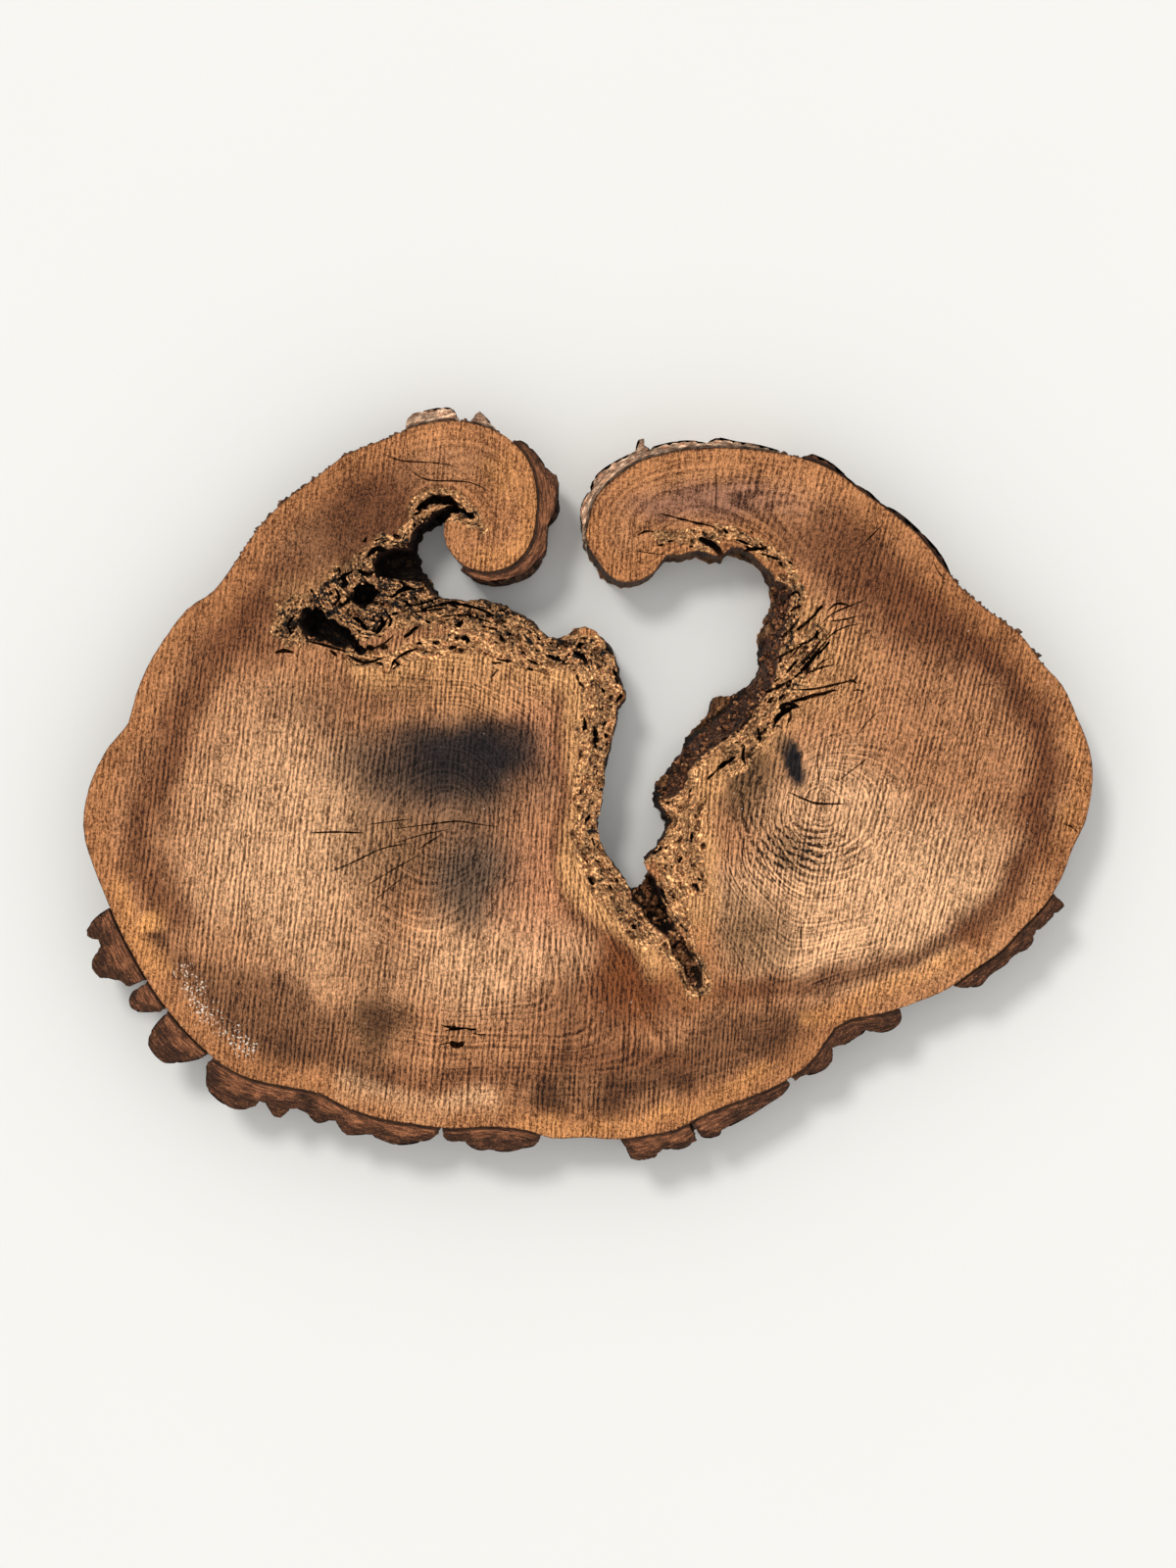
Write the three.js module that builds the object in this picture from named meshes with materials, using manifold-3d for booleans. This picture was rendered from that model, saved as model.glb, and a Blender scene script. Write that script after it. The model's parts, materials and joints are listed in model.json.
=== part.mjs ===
import * as THREE from 'three';
import { mergeVertices } from 'three/addons/utils/BufferGeometryUtils.js';
import Module from 'manifold-3d';

const wasm = await Module();
wasm.setup();

// A slab sawn across a walnut trunk, lying on its back sawn face. Millimetres, +Z up.
// x and y are counted from the middle of the slab's outline, z from the surface it lies on.
const thickness = 76;

// The back outline is this share smaller than the front one, and the walls wander between them.
const backTaper = 0.02;
const swayDepth = 5;
const swayLength = 95;

// Rotted walls stand in crags this deep and this long, sawn faces are cut clean through them.
const cragDepth = 4.5;
const cragLength = 19;
const pocketCragDepth = 1.4;

// Heights of the rings of points between the two faces.
const wallLayers = 5;
const pocketLayers = 2;
const barkLayers = 4;

// Bark stands this far off the wood, or this far where it has begun to come away.
const barkGap = 0.4;
const barkRift = 1.5;

// Furrows run up the bark: a ridge loses up to this share of its height behind the front face.
const furrowShare = 0.34;
const furrowLength = 24;
const furrowRise = 46;
const furrowSpread = 0.3;

// How far a cutter stands out of the face that it cuts, and how far bark stock reaches into the wood.
const overcut = 3;
const barkRoot = 8;
const barkSpacing = 6.5;
const pocketSpacing = 8;

// A split would close to a point this share of its length past each end, so its ends are blunt.
const splitBlunting = 0.06;

// Points closer than this are one point.
const weldDistance = 1e-3;

const colours = {
  wood: 0xa9744a,
  bark: 0x5d3a26,
  curlBark: 0x7b543c,
};

// The edge of the front face, clockwise, as the points that it passes through.
// spacing is the length of its facets, crag the share of cragDepth that its wall shows.
const edgeStretches = [
  {
    name: 'left curl, from its crown round the tip to the crease',
    spacing: 9,
    crag: 0,
    points: [
      [-205, 353], [-180, 364], [-160, 369], [-140, 371], [-120, 369], [-100, 363], [-84, 355],
      [-67, 339], [-59, 326], [-54, 310], [-52, 292], [-53, 272], [-56, 253], [-63, 238],
      [-74, 226], [-88, 219], [-102, 216], [-116, 218], [-128, 223], [-138, 232], [-145, 243],
      [-148, 255], [-147, 267], [-141, 276], [-133, 279], [-125, 275], [-118, 271],
    ],
  },
  {
    name: 'underside of the left flange',
    spacing: 9,
    crag: 0.35,
    points: [
      [-128, 281], [-136, 286], [-148, 281], [-158, 277], [-166, 269], [-176, 262], [-181, 250],
      [-181, 234], [-183, 226], [-174, 216],
    ],
  },
  {
    name: 'crumbling lip of the left lobe',
    spacing: 9,
    crag: 0.8,
    points: [
      [-167, 206], [-160, 196], [-152, 191], [-130, 189], [-102, 189], [-82, 180], [-58, 167],
      [-42, 151], [-32, 149], [-14, 159], [-3, 161], [7, 157], [15, 150], [24, 139], [30, 120],
      [32, 106], [38, 97], [38, 88], [31, 78],
    ],
  },
  {
    name: 'cleft between the lobes',
    spacing: 9.5,
    crag: 1,
    points: [
      [29, 62], [23, 40], [19, 15], [16, -15], [11, -35], [13, -58], [21, -73], [32, -89],
      [48, -110], [56, -110], [63, -95], [56, -80], [68, -66], [80, -46], [85, -38], [74, -25],
      [71, -8], [77, 9],
    ],
  },
  {
    name: 'crusted wall of the right lobe',
    spacing: 9.5,
    crag: 1,
    points: [
      [93, 25], [106, 47], [122, 67], [130, 78], [135, 91], [152, 94], [165, 104], [175, 113],
      [177, 132], [181, 162], [187, 175], [191, 197], [188, 213], [177, 224],
    ],
  },
  {
    name: 'underside of the right flange',
    spacing: 9,
    crag: 0.5,
    points: [
      [167, 234], [156, 241], [146, 241], [137, 233], [128, 233], [112, 238], [95, 234],
      [80, 233], [69, 218],
    ],
  },
  {
    name: 'right curl, from its tip to the shoulder',
    spacing: 9,
    crag: 0,
    points: [
      [58, 210], [45, 206], [30, 207], [17, 217], [8, 230], [0, 242], [-3, 255], [0, 267],
      [3, 280], [9, 294], [20, 306], [36, 319], [52, 329], [74, 336], [100, 341], [140, 343],
      [180, 340], [220, 332],
    ],
  },
  {
    name: 'right shoulder and flank',
    spacing: 13,
    crag: 0,
    points: [
      [252, 319], [280, 298], [310, 277], [340, 251], [361, 224], [380, 201], [410, 176],
      [442, 152], [462, 125], [484, 101], [498, 71], [512, 35], [515, 5], [508, -37],
      [494, -67], [483, -97], [466, -124], [442, -149], [420, -172], [394, -190], [368, -209],
      [338, -222], [302, -234], [266, -241], [252, -249], [241, -265], [228, -283],
    ],
  },
  {
    name: 'foot',
    spacing: 13,
    crag: 0,
    points: [
      [210, -298], [180, -314], [148, -326], [116, -339], [90, -353], [60, -359], [30, -363],
      [-4, -361], [-38, -362], [-62, -354], [-100, -350], [-138, -352], [-175, -348],
      [-215, -341], [-248, -330], [-272, -317], [-304, -310], [-342, -302], [-372, -288],
    ],
  },
  {
    name: 'left flank and shoulder',
    spacing: 13,
    crag: 0,
    points: [
      [-400, -264], [-424, -238], [-444, -211], [-462, -180], [-478, -150], [-490, -122],
      [-505, -85], [-514, -57], [-515, -28], [-506, 7], [-489, 39], [-470, 62], [-462, 91],
      [-451, 118], [-437, 142], [-410, 178], [-382, 198], [-363, 223], [-339, 259],
      [-324, 276], [-299, 298], [-274, 316], [-248, 336], [-214, 350],
    ],
  },
];

// Places where the heart has rotted away below the front face. Each is its rim there, its depth,
// the share of the rim that its floor keeps and how far that floor leans.
const rotPockets = [
  {
    name: 'cave in the left lobe',
    rim: [
      [-292, 178], [-278, 180], [-265, 172], [-250, 160], [-238, 150], [-225, 140], [-235, 130],
      [-255, 138], [-278, 145], [-292, 152],
    ],
    depth: 44,
    keep: 0.8,
    lean: [6, 5],
  },
  {
    name: 'pit above the cave',
    rim: [[-241, 199], [-228, 204], [-214, 200], [-216, 188], [-228, 178], [-242, 184]],
    depth: 34,
    keep: 0.75,
    lean: [2, 3],
  },
  {
    name: 'throat behind the left curl',
    rim: [
      [-220, 225], [-208, 238], [-192, 240], [-172, 236], [-160, 222], [-168, 208], [-184, 209],
      [-202, 210], [-215, 213],
    ],
    depth: 52,
    keep: 0.85,
    lean: [4, 0],
  },
  {
    name: 'crusted slope of the right lobe',
    rim: [
      [203, 202], [204, 175], [200, 150], [194, 125], [187, 100], [174, 80], [157, 62],
      [141, 47], [121, 33], [107, 19], [99, 3], [92, -12], [62, -12], [66, 12], [90, 52],
      [115, 87], [158, 122], [163, 160], [178, 204],
    ],
    depth: 58,
    keep: 0.98,
    lean: [-20, 15],
  },
  {
    name: 'funnel below the cleft',
    rim: [
      [42, -96], [64, -92], [73, -113], [81, -132], [89, -148], [83, -157], [69, -146],
      [57, -130], [44, -112],
    ],
    depth: 54,
    keep: 0.7,
    lean: [-4, 6],
  },
  {
    name: 'seam below the funnel',
    rim: [
      [81, -144], [93, -150], [103, -170], [113, -190], [117, -208], [110, -211], [101, -195],
      [90, -174],
    ],
    depth: 20,
    keep: 0.6,
    lean: [0, 2],
  },
];

// Splits and rot slots in the front face: the line that each follows, its width and its depth.
const splits = [
  { path: [[-173, 280], [-161, 289], [-146, 290], [-134, 285]], width: 6, depth: 30 },
  { path: [[-202, 189], [-192, 197], [-182, 199]], width: 7, depth: 24 },
  { path: [[-243, 170], [-233, 166], [-224, 156]], width: 9, depth: 26 },
  { path: [[-217, 152], [-210, 162], [-203, 171]], width: 7, depth: 22 },
  { path: [[-189, 149], [-180, 156], [-173, 161]], width: 7, depth: 18 },
  { path: [[-256, 208], [-248, 214], [-240, 217]], width: 6, depth: 20 },
  { path: [[-204, 112], [-196, 128], [-174, 139]], width: 4, depth: 14 },
  { path: [[-170, 178], [-145, 184], [-118, 181], [-92, 170]], width: 5, depth: 16 },
  { path: [[-150, 171], [-122, 172], [-100, 165]], width: 4, depth: 12 },
  { path: [[212, 156], [224, 166], [240, 183]], width: 8, depth: 26 },
  { path: [[210, 108], [226, 124], [247, 146]], width: 7, depth: 24 },
  { path: [[206, 84], [230, 90], [254, 96]], width: 6, depth: 20 },
  { path: [[189, 60], [198, 74], [214, 79]], width: 9, depth: 24 },
  { path: [[121, 3], [134, 17], [151, 28]], width: 7, depth: 24 },
  { path: [[72, 276], [100, 269], [130, 262]], width: 4, depth: 14 },
  { path: [[113, 250], [128, 244], [139, 228]], width: 6, depth: 26 },
  { path: [[150, 250], [166, 244], [184, 236]], width: 5, depth: 18 },
  { path: [[-147, -252], [-130, -249], [-113, -251]], width: 6, depth: 24 },
];

// Bark still on the slab: the edge of each piece, seen on the front face, from end to end.
// from and to are the heights that it spans, gap its distance from the wood.
const barkPieces = [
  {
    name: 'bark_left_chunk',
    gap: barkRift,
    edge: [
      [-490, -127], [-503, -136], [-513, -151], [-510, -158], [-500, -160], [-499, -166],
      [-508, -184], [-505, -192], [-499, -198], [-488, -199], [-480, -201], [-469, -208],
    ],
  },
  {
    name: 'bark_left_heel',
    gap: barkRift,
    edge: [[-466, -212], [-470, -221], [-467, -230], [-460, -233], [-445, -233], [-437, -233]],
  },
  {
    name: 'bark_lower_left_block',
    gap: barkRift,
    edge: [
      [-431, -234], [-440, -243], [-448, -255], [-450, -263], [-448, -270], [-440, -280],
      [-433, -285], [-420, -285], [-405, -283], [-394, -280],
    ],
  },
  {
    name: 'bark_lower_left_strip',
    gap: barkGap,
    edge: [
      [-390, -285], [-390, -295], [-391, -305], [-389, -312], [-383, -319], [-375, -325],
      [-367, -330], [-355, -333], [-339, -329], [-333, -323], [-327, -330], [-324, -337],
      [-320, -341], [-314, -342], [-308, -336], [-300, -331], [-290, -335], [-284, -340],
      [-277, -347], [-259, -344], [-251, -357], [-239, -359], [-227, -358], [-210, -364],
      [-200, -368], [-190, -369], [-172, -366], [-158, -362], [-153, -358],
    ],
  },
  {
    name: 'bark_bottom_left_strip',
    gap: barkGap,
    edge: [
      [-149, -360], [-142, -366], [-128, -365], [-117, -373], [-110, -375], [-100, -374],
      [-84, -376], [-65, -372], [-55, -370], [-50, -365],
    ],
  },
  {
    name: 'bark_bottom_chunk',
    gap: barkGap,
    edge: [
      [34, -366], [38, -371], [41, -378], [45, -384], [52, -385], [62, -383], [70, -381],
      [73, -376], [80, -373], [97, -373], [105, -368], [112, -364],
    ],
  },
  {
    name: 'bark_bottom_right_strip',
    gap: barkGap,
    edge: [
      [115, -361], [125, -362], [135, -360], [139, -353], [150, -347], [168, -337],
      [185, -326], [195, -320], [203, -313], [207, -306],
    ],
  },
  {
    name: 'bark_lower_right_strip',
    gap: barkGap,
    edge: [
      [211, -304], [220, -299], [238, -294], [245, -289], [250, -282], [251, -269],
      [264, -266], [277, -257], [285, -253], [298, -254], [304, -254], [312, -250],
      [320, -244], [321, -238], [320, -232],
    ],
  },
  {
    name: 'bark_right_strip',
    gap: barkRift,
    edge: [
      [377, -208], [393, -208], [401, -207], [408, -198], [418, -190], [426, -186],
      [436, -174], [445, -171], [452, -166], [455, -160], [458, -150], [465, -146],
      [470, -140], [478, -132], [486, -125], [485, -120], [479, -115],
    ],
  },
  {
    name: 'bark_left_curl',
    gap: barkGap,
    colour: colours.curlBark,
    edge: [
      [-76, 351], [-67, 351], [-55, 340], [-47, 330], [-40, 320], [-32, 316], [-30, 308],
      [-30, 296], [-31, 285], [-33, 277], [-39, 266], [-41, 254], [-41, 242], [-46, 233],
      [-54, 224], [-62, 216], [-72, 211], [-84, 208], [-100, 206], [-110, 207], [-120, 210],
      [-131, 218],
    ],
  },
  {
    name: 'bark_right_curl',
    gap: barkGap,
    colour: colours.curlBark,
    edge: [
      [-2, 246], [-7, 252], [-6, 260], [-9, 269], [-9, 279], [-6, 289], [1, 300], [4, 310],
      [10, 318], [20, 325], [30, 331], [40, 336], [48, 341], [50, 352], [57, 353], [60, 344],
      [75, 347], [90, 350], [106, 351], [122, 349], [130, 354], [139, 353], [150, 350],
      [165, 348], [180, 345], [196, 340],
    ],
  },
  {
    name: 'bark_top_right_crust',
    gap: barkGap,
    edge: [
      [219, 336], [228, 338], [239, 333], [250, 327], [260, 318], [273, 307], [288, 298],
      [298, 288], [313, 280], [325, 271], [336, 261], [347, 250], [357, 239], [365, 226],
      [370, 214],
    ],
  },
  {
    name: 'bark_top_flake',
    gap: barkGap,
    colour: colours.curlBark,
    from: 22,
    to: 75,
    edge: [
      [-188, 366], [-184, 376], [-172, 380], [-160, 383], [-148, 385], [-138, 384],
      [-133, 378], [-133, 373],
    ],
  },
  {
    name: 'bark_top_stub',
    gap: barkGap,
    colour: colours.curlBark,
    from: 34,
    to: 74,
    edge: [[-120, 372], [-115, 380], [-111, 382], [-107, 378], [-101, 371], [-94, 364]],
  },
];

// Smooth noise from -1 to 1, the same for the same place.
const hashStrides = [127.1, 311.7, 74.7];
const hashScale = 43758.5453;

function latticeValue(i, j, k) {
  const phase = i * hashStrides[0] + j * hashStrides[1] + k * hashStrides[2];
  const spread = Math.sin(phase) * hashScale;
  return 2 * (spread - Math.floor(spread)) - 1;
}

function ease(share) {
  return share * share * (3 - 2 * share);
}

function noise(x, y, z) {
  const cell = [x, y, z].map(Math.floor);
  const share = [x - cell[0], y - cell[1], z - cell[2]].map(ease);
  let total = 0;
  for (let corner = 0; corner < 8; corner += 1) {
    const step = [corner & 1, (corner >> 1) & 1, (corner >> 2) & 1];
    const weights = step.map((on, axis) => (on ? share[axis] : 1 - share[axis]));
    const value = latticeValue(cell[0] + step[0], cell[1] + step[1], cell[2] + step[2]);
    total += value * weights[0] * weights[1] * weights[2];
  }
  return total;
}

// Two fields that don't follow each other, from one noise.
const otherField = 57.3;

function shiftBy(point, reach, length, rise) {
  const { x, y, z } = point;
  point.x += reach * noise(x / length, y / length, z / rise);
  point.y += reach * noise(y / length + otherField, x / length, z / rise + otherField);
}

// Points spaced along a smooth closed line. spacingAt gives the facet length after a point.
function walkLoop(points, spacingAt) {
  const curve = new THREE.CatmullRomCurve3(
    points.map(([x, y]) => new THREE.Vector3(x, y, 0)), true, 'centripetal');
  const walked = [];
  points.forEach((point, index) => {
    const next = points[(index + 1) % points.length];
    const chord = Math.hypot(next[0] - point[0], next[1] - point[1]);
    const facets = Math.max(1, Math.round(chord / spacingAt(index)));
    for (let facet = 0; facet < facets; facet += 1) {
      const place = curve.getPoint((index + facet / facets) / points.length);
      walked.push({ x: place.x, y: place.y, from: index });
    }
  });
  return walked;
}

// Points spaced along a smooth open line.
function walkLine(points, spacing) {
  const curve = new THREE.CatmullRomCurve3(
    points.map(([x, y]) => new THREE.Vector3(x, y, 0)), false, 'centripetal');
  const facets = Math.max(points.length - 1, Math.round(curve.getLength() / spacing));
  return curve.getSpacedPoints(facets).map((place) => ({ x: place.x, y: place.y }));
}

// The front edge as facets, each point with the way out of the wood and its wall's crags.
function walkEdge() {
  const controls = edgeStretches.flatMap((stretch) => stretch.points.map((point) => ({ point, stretch })));
  const walked = walkLoop(
    controls.map((control) => control.point),
    (index) => controls[index].stretch.spacing);
  return walked.map((place, index) => {
    const before = walked.at(index - 1);
    const after = walked[(index + 1) % walked.length];
    const run = Math.hypot(after.x - before.x, after.y - before.y);
    return {
      x: place.x,
      y: place.y,
      outX: -(after.y - before.y) / run,
      outY: (after.x - before.x) / run,
      crag: controls[place.from].stretch.crag,
    };
  });
}

const frontEdge = walkEdge();

function placeKey(x, y) {
  return `${x.toFixed(2)} ${y.toFixed(2)}`;
}

// A prism over an outline, from one height to another, in rings of points between them.
function prism(outline, low, high, rings) {
  const shape = new THREE.Shape(outline.map((place) => new THREE.Vector2(place.x, place.y)));
  const geometry = new THREE.ExtrudeGeometry(shape, {
    depth: high - low,
    steps: rings,
    bevelEnabled: false,
  });
  geometry.translate(0, 0, low);
  geometry.deleteAttribute('normal');
  geometry.deleteAttribute('uv');
  return mergeVertices(geometry, weldDistance);
}

function sculpt(geometry, move) {
  const places = geometry.attributes.position;
  const point = new THREE.Vector3();
  for (let index = 0; index < places.count; index += 1) {
    point.fromBufferAttribute(places, index);
    move(point);
    places.setXYZ(index, point.x, point.y, point.z);
  }
  return geometry;
}

// How the trunk tapers and wanders below the front face. Wood and bark share it, so they stay apart.
function followTrunk(point) {
  const below = (thickness - point.z) / thickness;
  if (below <= 0) {
    return;
  }
  const shrink = 1 - backTaper * below;
  point.x *= shrink;
  point.y *= shrink;
  shiftBy(point, swayDepth * below, swayLength, swayLength);
}

function toSolid(geometry) {
  return new wasm.Manifold(new wasm.Mesh({
    numProp: 3,
    vertProperties: new Float32Array(geometry.attributes.position.array),
    triVerts: new Uint32Array(geometry.index.array),
  }));
}

function toGeometry(solid) {
  const mesh = solid.getMesh();
  const geometry = new THREE.BufferGeometry();
  geometry.setAttribute('position', new THREE.BufferAttribute(mesh.vertProperties, 3));
  geometry.setIndex(new THREE.BufferAttribute(mesh.triVerts, 1));
  geometry.computeVertexNormals();
  return geometry;
}

// The trunk's solid, grown outwards by a distance.
function trunkSolid(growth) {
  const crags = new Map();
  const outline = frontEdge.map((place) => {
    const grown = { x: place.x + place.outX * growth, y: place.y + place.outY * growth };
    crags.set(placeKey(grown.x, grown.y), place.crag * cragDepth);
    return grown;
  });
  const geometry = prism(outline, 0, thickness, wallLayers);
  sculpt(geometry, (point) => {
    const reach = crags.get(placeKey(point.x, point.y)) ?? 0;
    if (point.z < thickness) {
      shiftBy(point, reach, cragLength, cragLength);
    }
    followTrunk(point);
  });
  return toSolid(geometry);
}

// The solid that leaves a rot pocket when it is cut away.
function pocketSolid({ rim, depth, keep, lean }) {
  const outline = walkLoop(rim, () => pocketSpacing);
  const middle = {
    x: rim.reduce((sum, [x]) => sum + x, 0) / rim.length,
    y: rim.reduce((sum, [, y]) => sum + y, 0) / rim.length,
  };
  const geometry = prism(outline, thickness - depth, thickness + overcut, pocketLayers);
  sculpt(geometry, (point) => {
    const share = Math.max(0, (thickness - point.z) / depth);
    const size = 1 - (1 - keep) * share;
    point.x = middle.x + (point.x - middle.x) * size + lean[0] * share;
    point.y = middle.y + (point.y - middle.y) * size + lean[1] * share;
    shiftBy(point, pocketCragDepth, cragLength, cragLength);
  });
  return toSolid(geometry);
}

// The solid that leaves a split: widest halfway along its line, and closing to both ends and down.
function splitSolid({ path, width, depth }) {
  const line = walkLine(path, width);
  const sides = [[], []];
  line.forEach((place, index) => {
    const share = index / (line.length - 1);
    const before = line[Math.max(0, index - 1)];
    const after = line[Math.min(line.length - 1, index + 1)];
    const run = Math.hypot(after.x - before.x, after.y - before.y);
    const along = splitBlunting + (1 - 2 * splitBlunting) * share;
    const half = (width / 2) * Math.sqrt(Math.sin(Math.PI * along));
    const across = { x: (-(after.y - before.y) / run) * half, y: ((after.x - before.x) / run) * half };
    sides[0].push({ x: place.x + across.x, y: place.y + across.y });
    sides[1].unshift({ x: place.x - across.x, y: place.y - across.y });
  });
  return toSolid(prism([...sides[0], ...sides[1]], thickness - depth, thickness + overcut, 1));
}

function nearestEdgeIndex(x, y) {
  let best = 0;
  frontEdge.forEach((place, index) => {
    const here = Math.hypot(place.x - x, place.y - y);
    const kept = Math.hypot(frontEdge[best].x - x, frontEdge[best].y - y);
    if (here < kept) {
      best = index;
    }
  });
  return best;
}

// The wood under a piece of bark, from its last end back to its first, sunk in by a depth.
function rootLine(edge, sunk) {
  const count = frontEdge.length;
  const first = nearestEdgeIndex(...edge[0]);
  const last = nearestEdgeIndex(...edge.at(-1));
  const forward = (last - first + count) % count;
  const backward = (first - last + count) % count;
  const stride = forward < backward ? -1 : 1;
  const line = [];
  for (let step = 0; step <= Math.min(forward, backward); step += 1) {
    const place = frontEdge[(last + stride * step + count) % count];
    line.push({ x: place.x - place.outX * sunk, y: place.y - place.outY * sunk });
  }
  return line;
}

const trunkByGap = new Map([barkGap, barkRift].map((gap) => [gap, trunkSolid(gap)]));

// A piece of bark: stock over its edge and the wood under it, furrowed, less the wood itself.
function barkSolid({ edge, gap, from = 0, to = thickness }) {
  const outer = walkLine(edge, barkSpacing);
  const geometry = prism([...outer, ...rootLine(edge, barkRoot)], from, to, barkLayers);
  sculpt(geometry, (point) => {
    const foot = frontEdge[nearestEdgeIndex(point.x, point.y)];
    const height = (point.x - foot.x) * foot.outX + (point.y - foot.y) * foot.outY;
    if (height > gap && point.z < to) {
      const furrow = noise(point.x / furrowLength, point.y / furrowLength, point.z / furrowRise);
      const loss = height * furrowShare * Math.max(0, furrow + furrowSpread);
      point.x -= foot.outX * loss;
      point.y -= foot.outY * loss;
    }
    followTrunk(point);
  });
  const whole = toSolid(geometry).subtract(trunkByGap.get(gap));
  const pieces = whole.decompose().sort((one, other) => other.volume() - one.volume());
  return pieces[0];
}

function part(name, geometry, colour, roughness) {
  const material = new THREE.MeshStandardMaterial({ color: colour, roughness, metalness: 0 });
  const mesh = new THREE.Mesh(geometry, material);
  mesh.name = name;
  return mesh;
}

function makeWood() {
  const cutters = [...rotPockets.map(pocketSolid), ...splits.map(splitSolid)];
  const solid = cutters.reduce((left, cutter) => left.subtract(cutter), trunkSolid(0));
  return part('wood', toGeometry(solid), colours.wood, 0.8);
}

function makeBark() {
  return barkPieces.map((piece) => {
    const colour = piece.colour ?? colours.bark;
    return part(piece.name, toGeometry(barkSolid(piece)), colour, 0.95);
  });
}

// The slab stands on the plane z = 0 with the middle of its box over the origin.
const slab = new THREE.Group();
slab.add(makeWood(), ...makeBark());
const box = new THREE.Box3().setFromObject(slab);
slab.position.set(-(box.min.x + box.max.x) / 2, -(box.min.y + box.max.y) / 2, -box.min.z);

const cookie = new THREE.Group();
cookie.add(slab);

export default cookie;
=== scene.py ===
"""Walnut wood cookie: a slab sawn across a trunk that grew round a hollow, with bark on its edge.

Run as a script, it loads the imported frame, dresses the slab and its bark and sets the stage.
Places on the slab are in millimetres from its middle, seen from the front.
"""

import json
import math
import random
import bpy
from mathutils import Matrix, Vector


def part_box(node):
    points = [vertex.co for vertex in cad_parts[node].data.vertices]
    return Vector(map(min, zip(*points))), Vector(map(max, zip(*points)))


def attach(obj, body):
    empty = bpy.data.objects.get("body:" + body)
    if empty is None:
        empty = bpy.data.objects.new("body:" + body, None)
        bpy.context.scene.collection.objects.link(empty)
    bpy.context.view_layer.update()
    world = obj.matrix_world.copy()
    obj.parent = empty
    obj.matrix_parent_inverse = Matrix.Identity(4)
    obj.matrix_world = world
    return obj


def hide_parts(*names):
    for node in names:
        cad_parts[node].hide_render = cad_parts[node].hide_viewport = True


bl_info = {
    "name": "Walnut wood cookie",
    "version": (1, 0, 0),
    "blender": (4, 5, 0),
    "location": "View3D > Sidebar > Wood cookie",
    "description": "Dresses the sawn slab, its rotted heart and its bark",
    "category": "Object",
}

import bmesh
import bpy
import numpy as np
from bpy.props import FloatProperty, FloatVectorProperty, IntProperty, PointerProperty
from mathutils import Matrix, Vector, kdtree
from mathutils.bvhtree import BVHTree
from mathutils.noise import noise, noise_vector, seed_set

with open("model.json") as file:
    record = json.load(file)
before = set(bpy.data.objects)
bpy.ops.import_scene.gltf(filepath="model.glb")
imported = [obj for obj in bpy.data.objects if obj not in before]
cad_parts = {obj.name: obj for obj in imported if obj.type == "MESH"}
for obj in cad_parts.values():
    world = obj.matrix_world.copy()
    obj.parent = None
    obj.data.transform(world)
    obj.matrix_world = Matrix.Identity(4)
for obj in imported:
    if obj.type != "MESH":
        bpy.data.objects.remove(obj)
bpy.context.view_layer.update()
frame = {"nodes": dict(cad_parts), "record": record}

MM = 0.001
WOOD_LOW, WOOD_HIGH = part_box("wood")
FRONT = WOOD_HIGH.z
BACK = WOOD_LOW.z

# How near to a sawn face a point counts as in it.
IN_FACE = 1e-5

# How far the gridded blocks reach past the slab, as a share of its size and past its far face.
GRID_MARGIN = 1.04
PAST_FACE = 30 * MM

# The two piths, which the growth rings start from.
PITHS = ((-134, -40), (234, -16))
PITH_BLEND = 46

# Bands of rotten wood: the line that each follows, its reach to either side, how open it is.
ROT_BANDS = (
    (((-300, 166), (-262, 164), (-226, 170), (-196, 190), (-178, 214)), 28, 1.3),
    (((-292, 160), (-262, 190), (-236, 214), (-210, 236)), 20, 1.2),
    (((-250, 160), (-222, 196), (-196, 222), (-184, 236)), 22, 1.4),
    (((-200, 176), (-184, 200), (-166, 200)), 18, 1.0),
    (((-196, 236), (-182, 258), (-160, 284), (-130, 280), (-108, 262)), 10, 0.6),
    (((-182, 182), (-150, 178), (-104, 174), (-66, 154), (-30, 138), (4, 130)), 23, 1.0),
    (((-236, 130), (-204, 124), (-160, 142), (-110, 144), (-40, 122)), 13, 0.3),
    (((18, 132), (16, 80), (12, 40), (6, 0), (6, -50), (16, -88), (36, -116), (60, -150)), 15, 0.7),
    (((2, 100), (-2, 20), (-6, -60), (14, -116), (60, -160)), 10, 0.1),
    (((84, -160), (84, -140), (88, -100), (84, -60), (88, -20), (100, 6)), 20, 0.3),
    (((110, -110), (110, -60), (112, -20)), 9, 0.15),
    (((84, 20), (110, 34), (140, 56), (168, 84), (186, 120), (200, 160), (204, 196)), 15, 0.9),
    (((150, 24), (186, 72), (214, 112), (234, 150)), 17, 0.6),
    (((88, -150), (100, -178), (112, -205)), 9, 0.3),
    (((70, 250), (110, 252), (150, 254), (184, 236), (206, 216)), 8, 0.35),
)

# The dark crust on the slope of the right lobe.
CRUST_BAND = (((196, 196), (196, 150), (188, 110), (166, 78), (136, 52), (108, 26), (88, -6)), 15)

# The cleft below the hollow, choked with crumbs.
CLEFT = ((44, -96), (64, -126), (84, -160), (108, -200))

# Where crumbs of rot lie thickly, on the crust and in the cleft: the line, its reach, how open it
# is, how deep down they lie from and to, their sizes, how light they are and how thickly they lie.
CRUMB_FIELDS = (
    (CRUST_BAND[0], 21, 1.0, 5, 60, (2.0, 2.8, 3.8, 5.4), (-0.2, 0.72), 2.2),
    (CLEFT, 15, 1.0, 3, 70, (2.4, 3.4, 4.6, 6.0), (0.05, 0.8), 2.6),
)

# White specks left along the lower left: the line and its reach.
WHITE_SPECKS = (((-412, -192), (-392, -226), (-350, -268)), 17)
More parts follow.
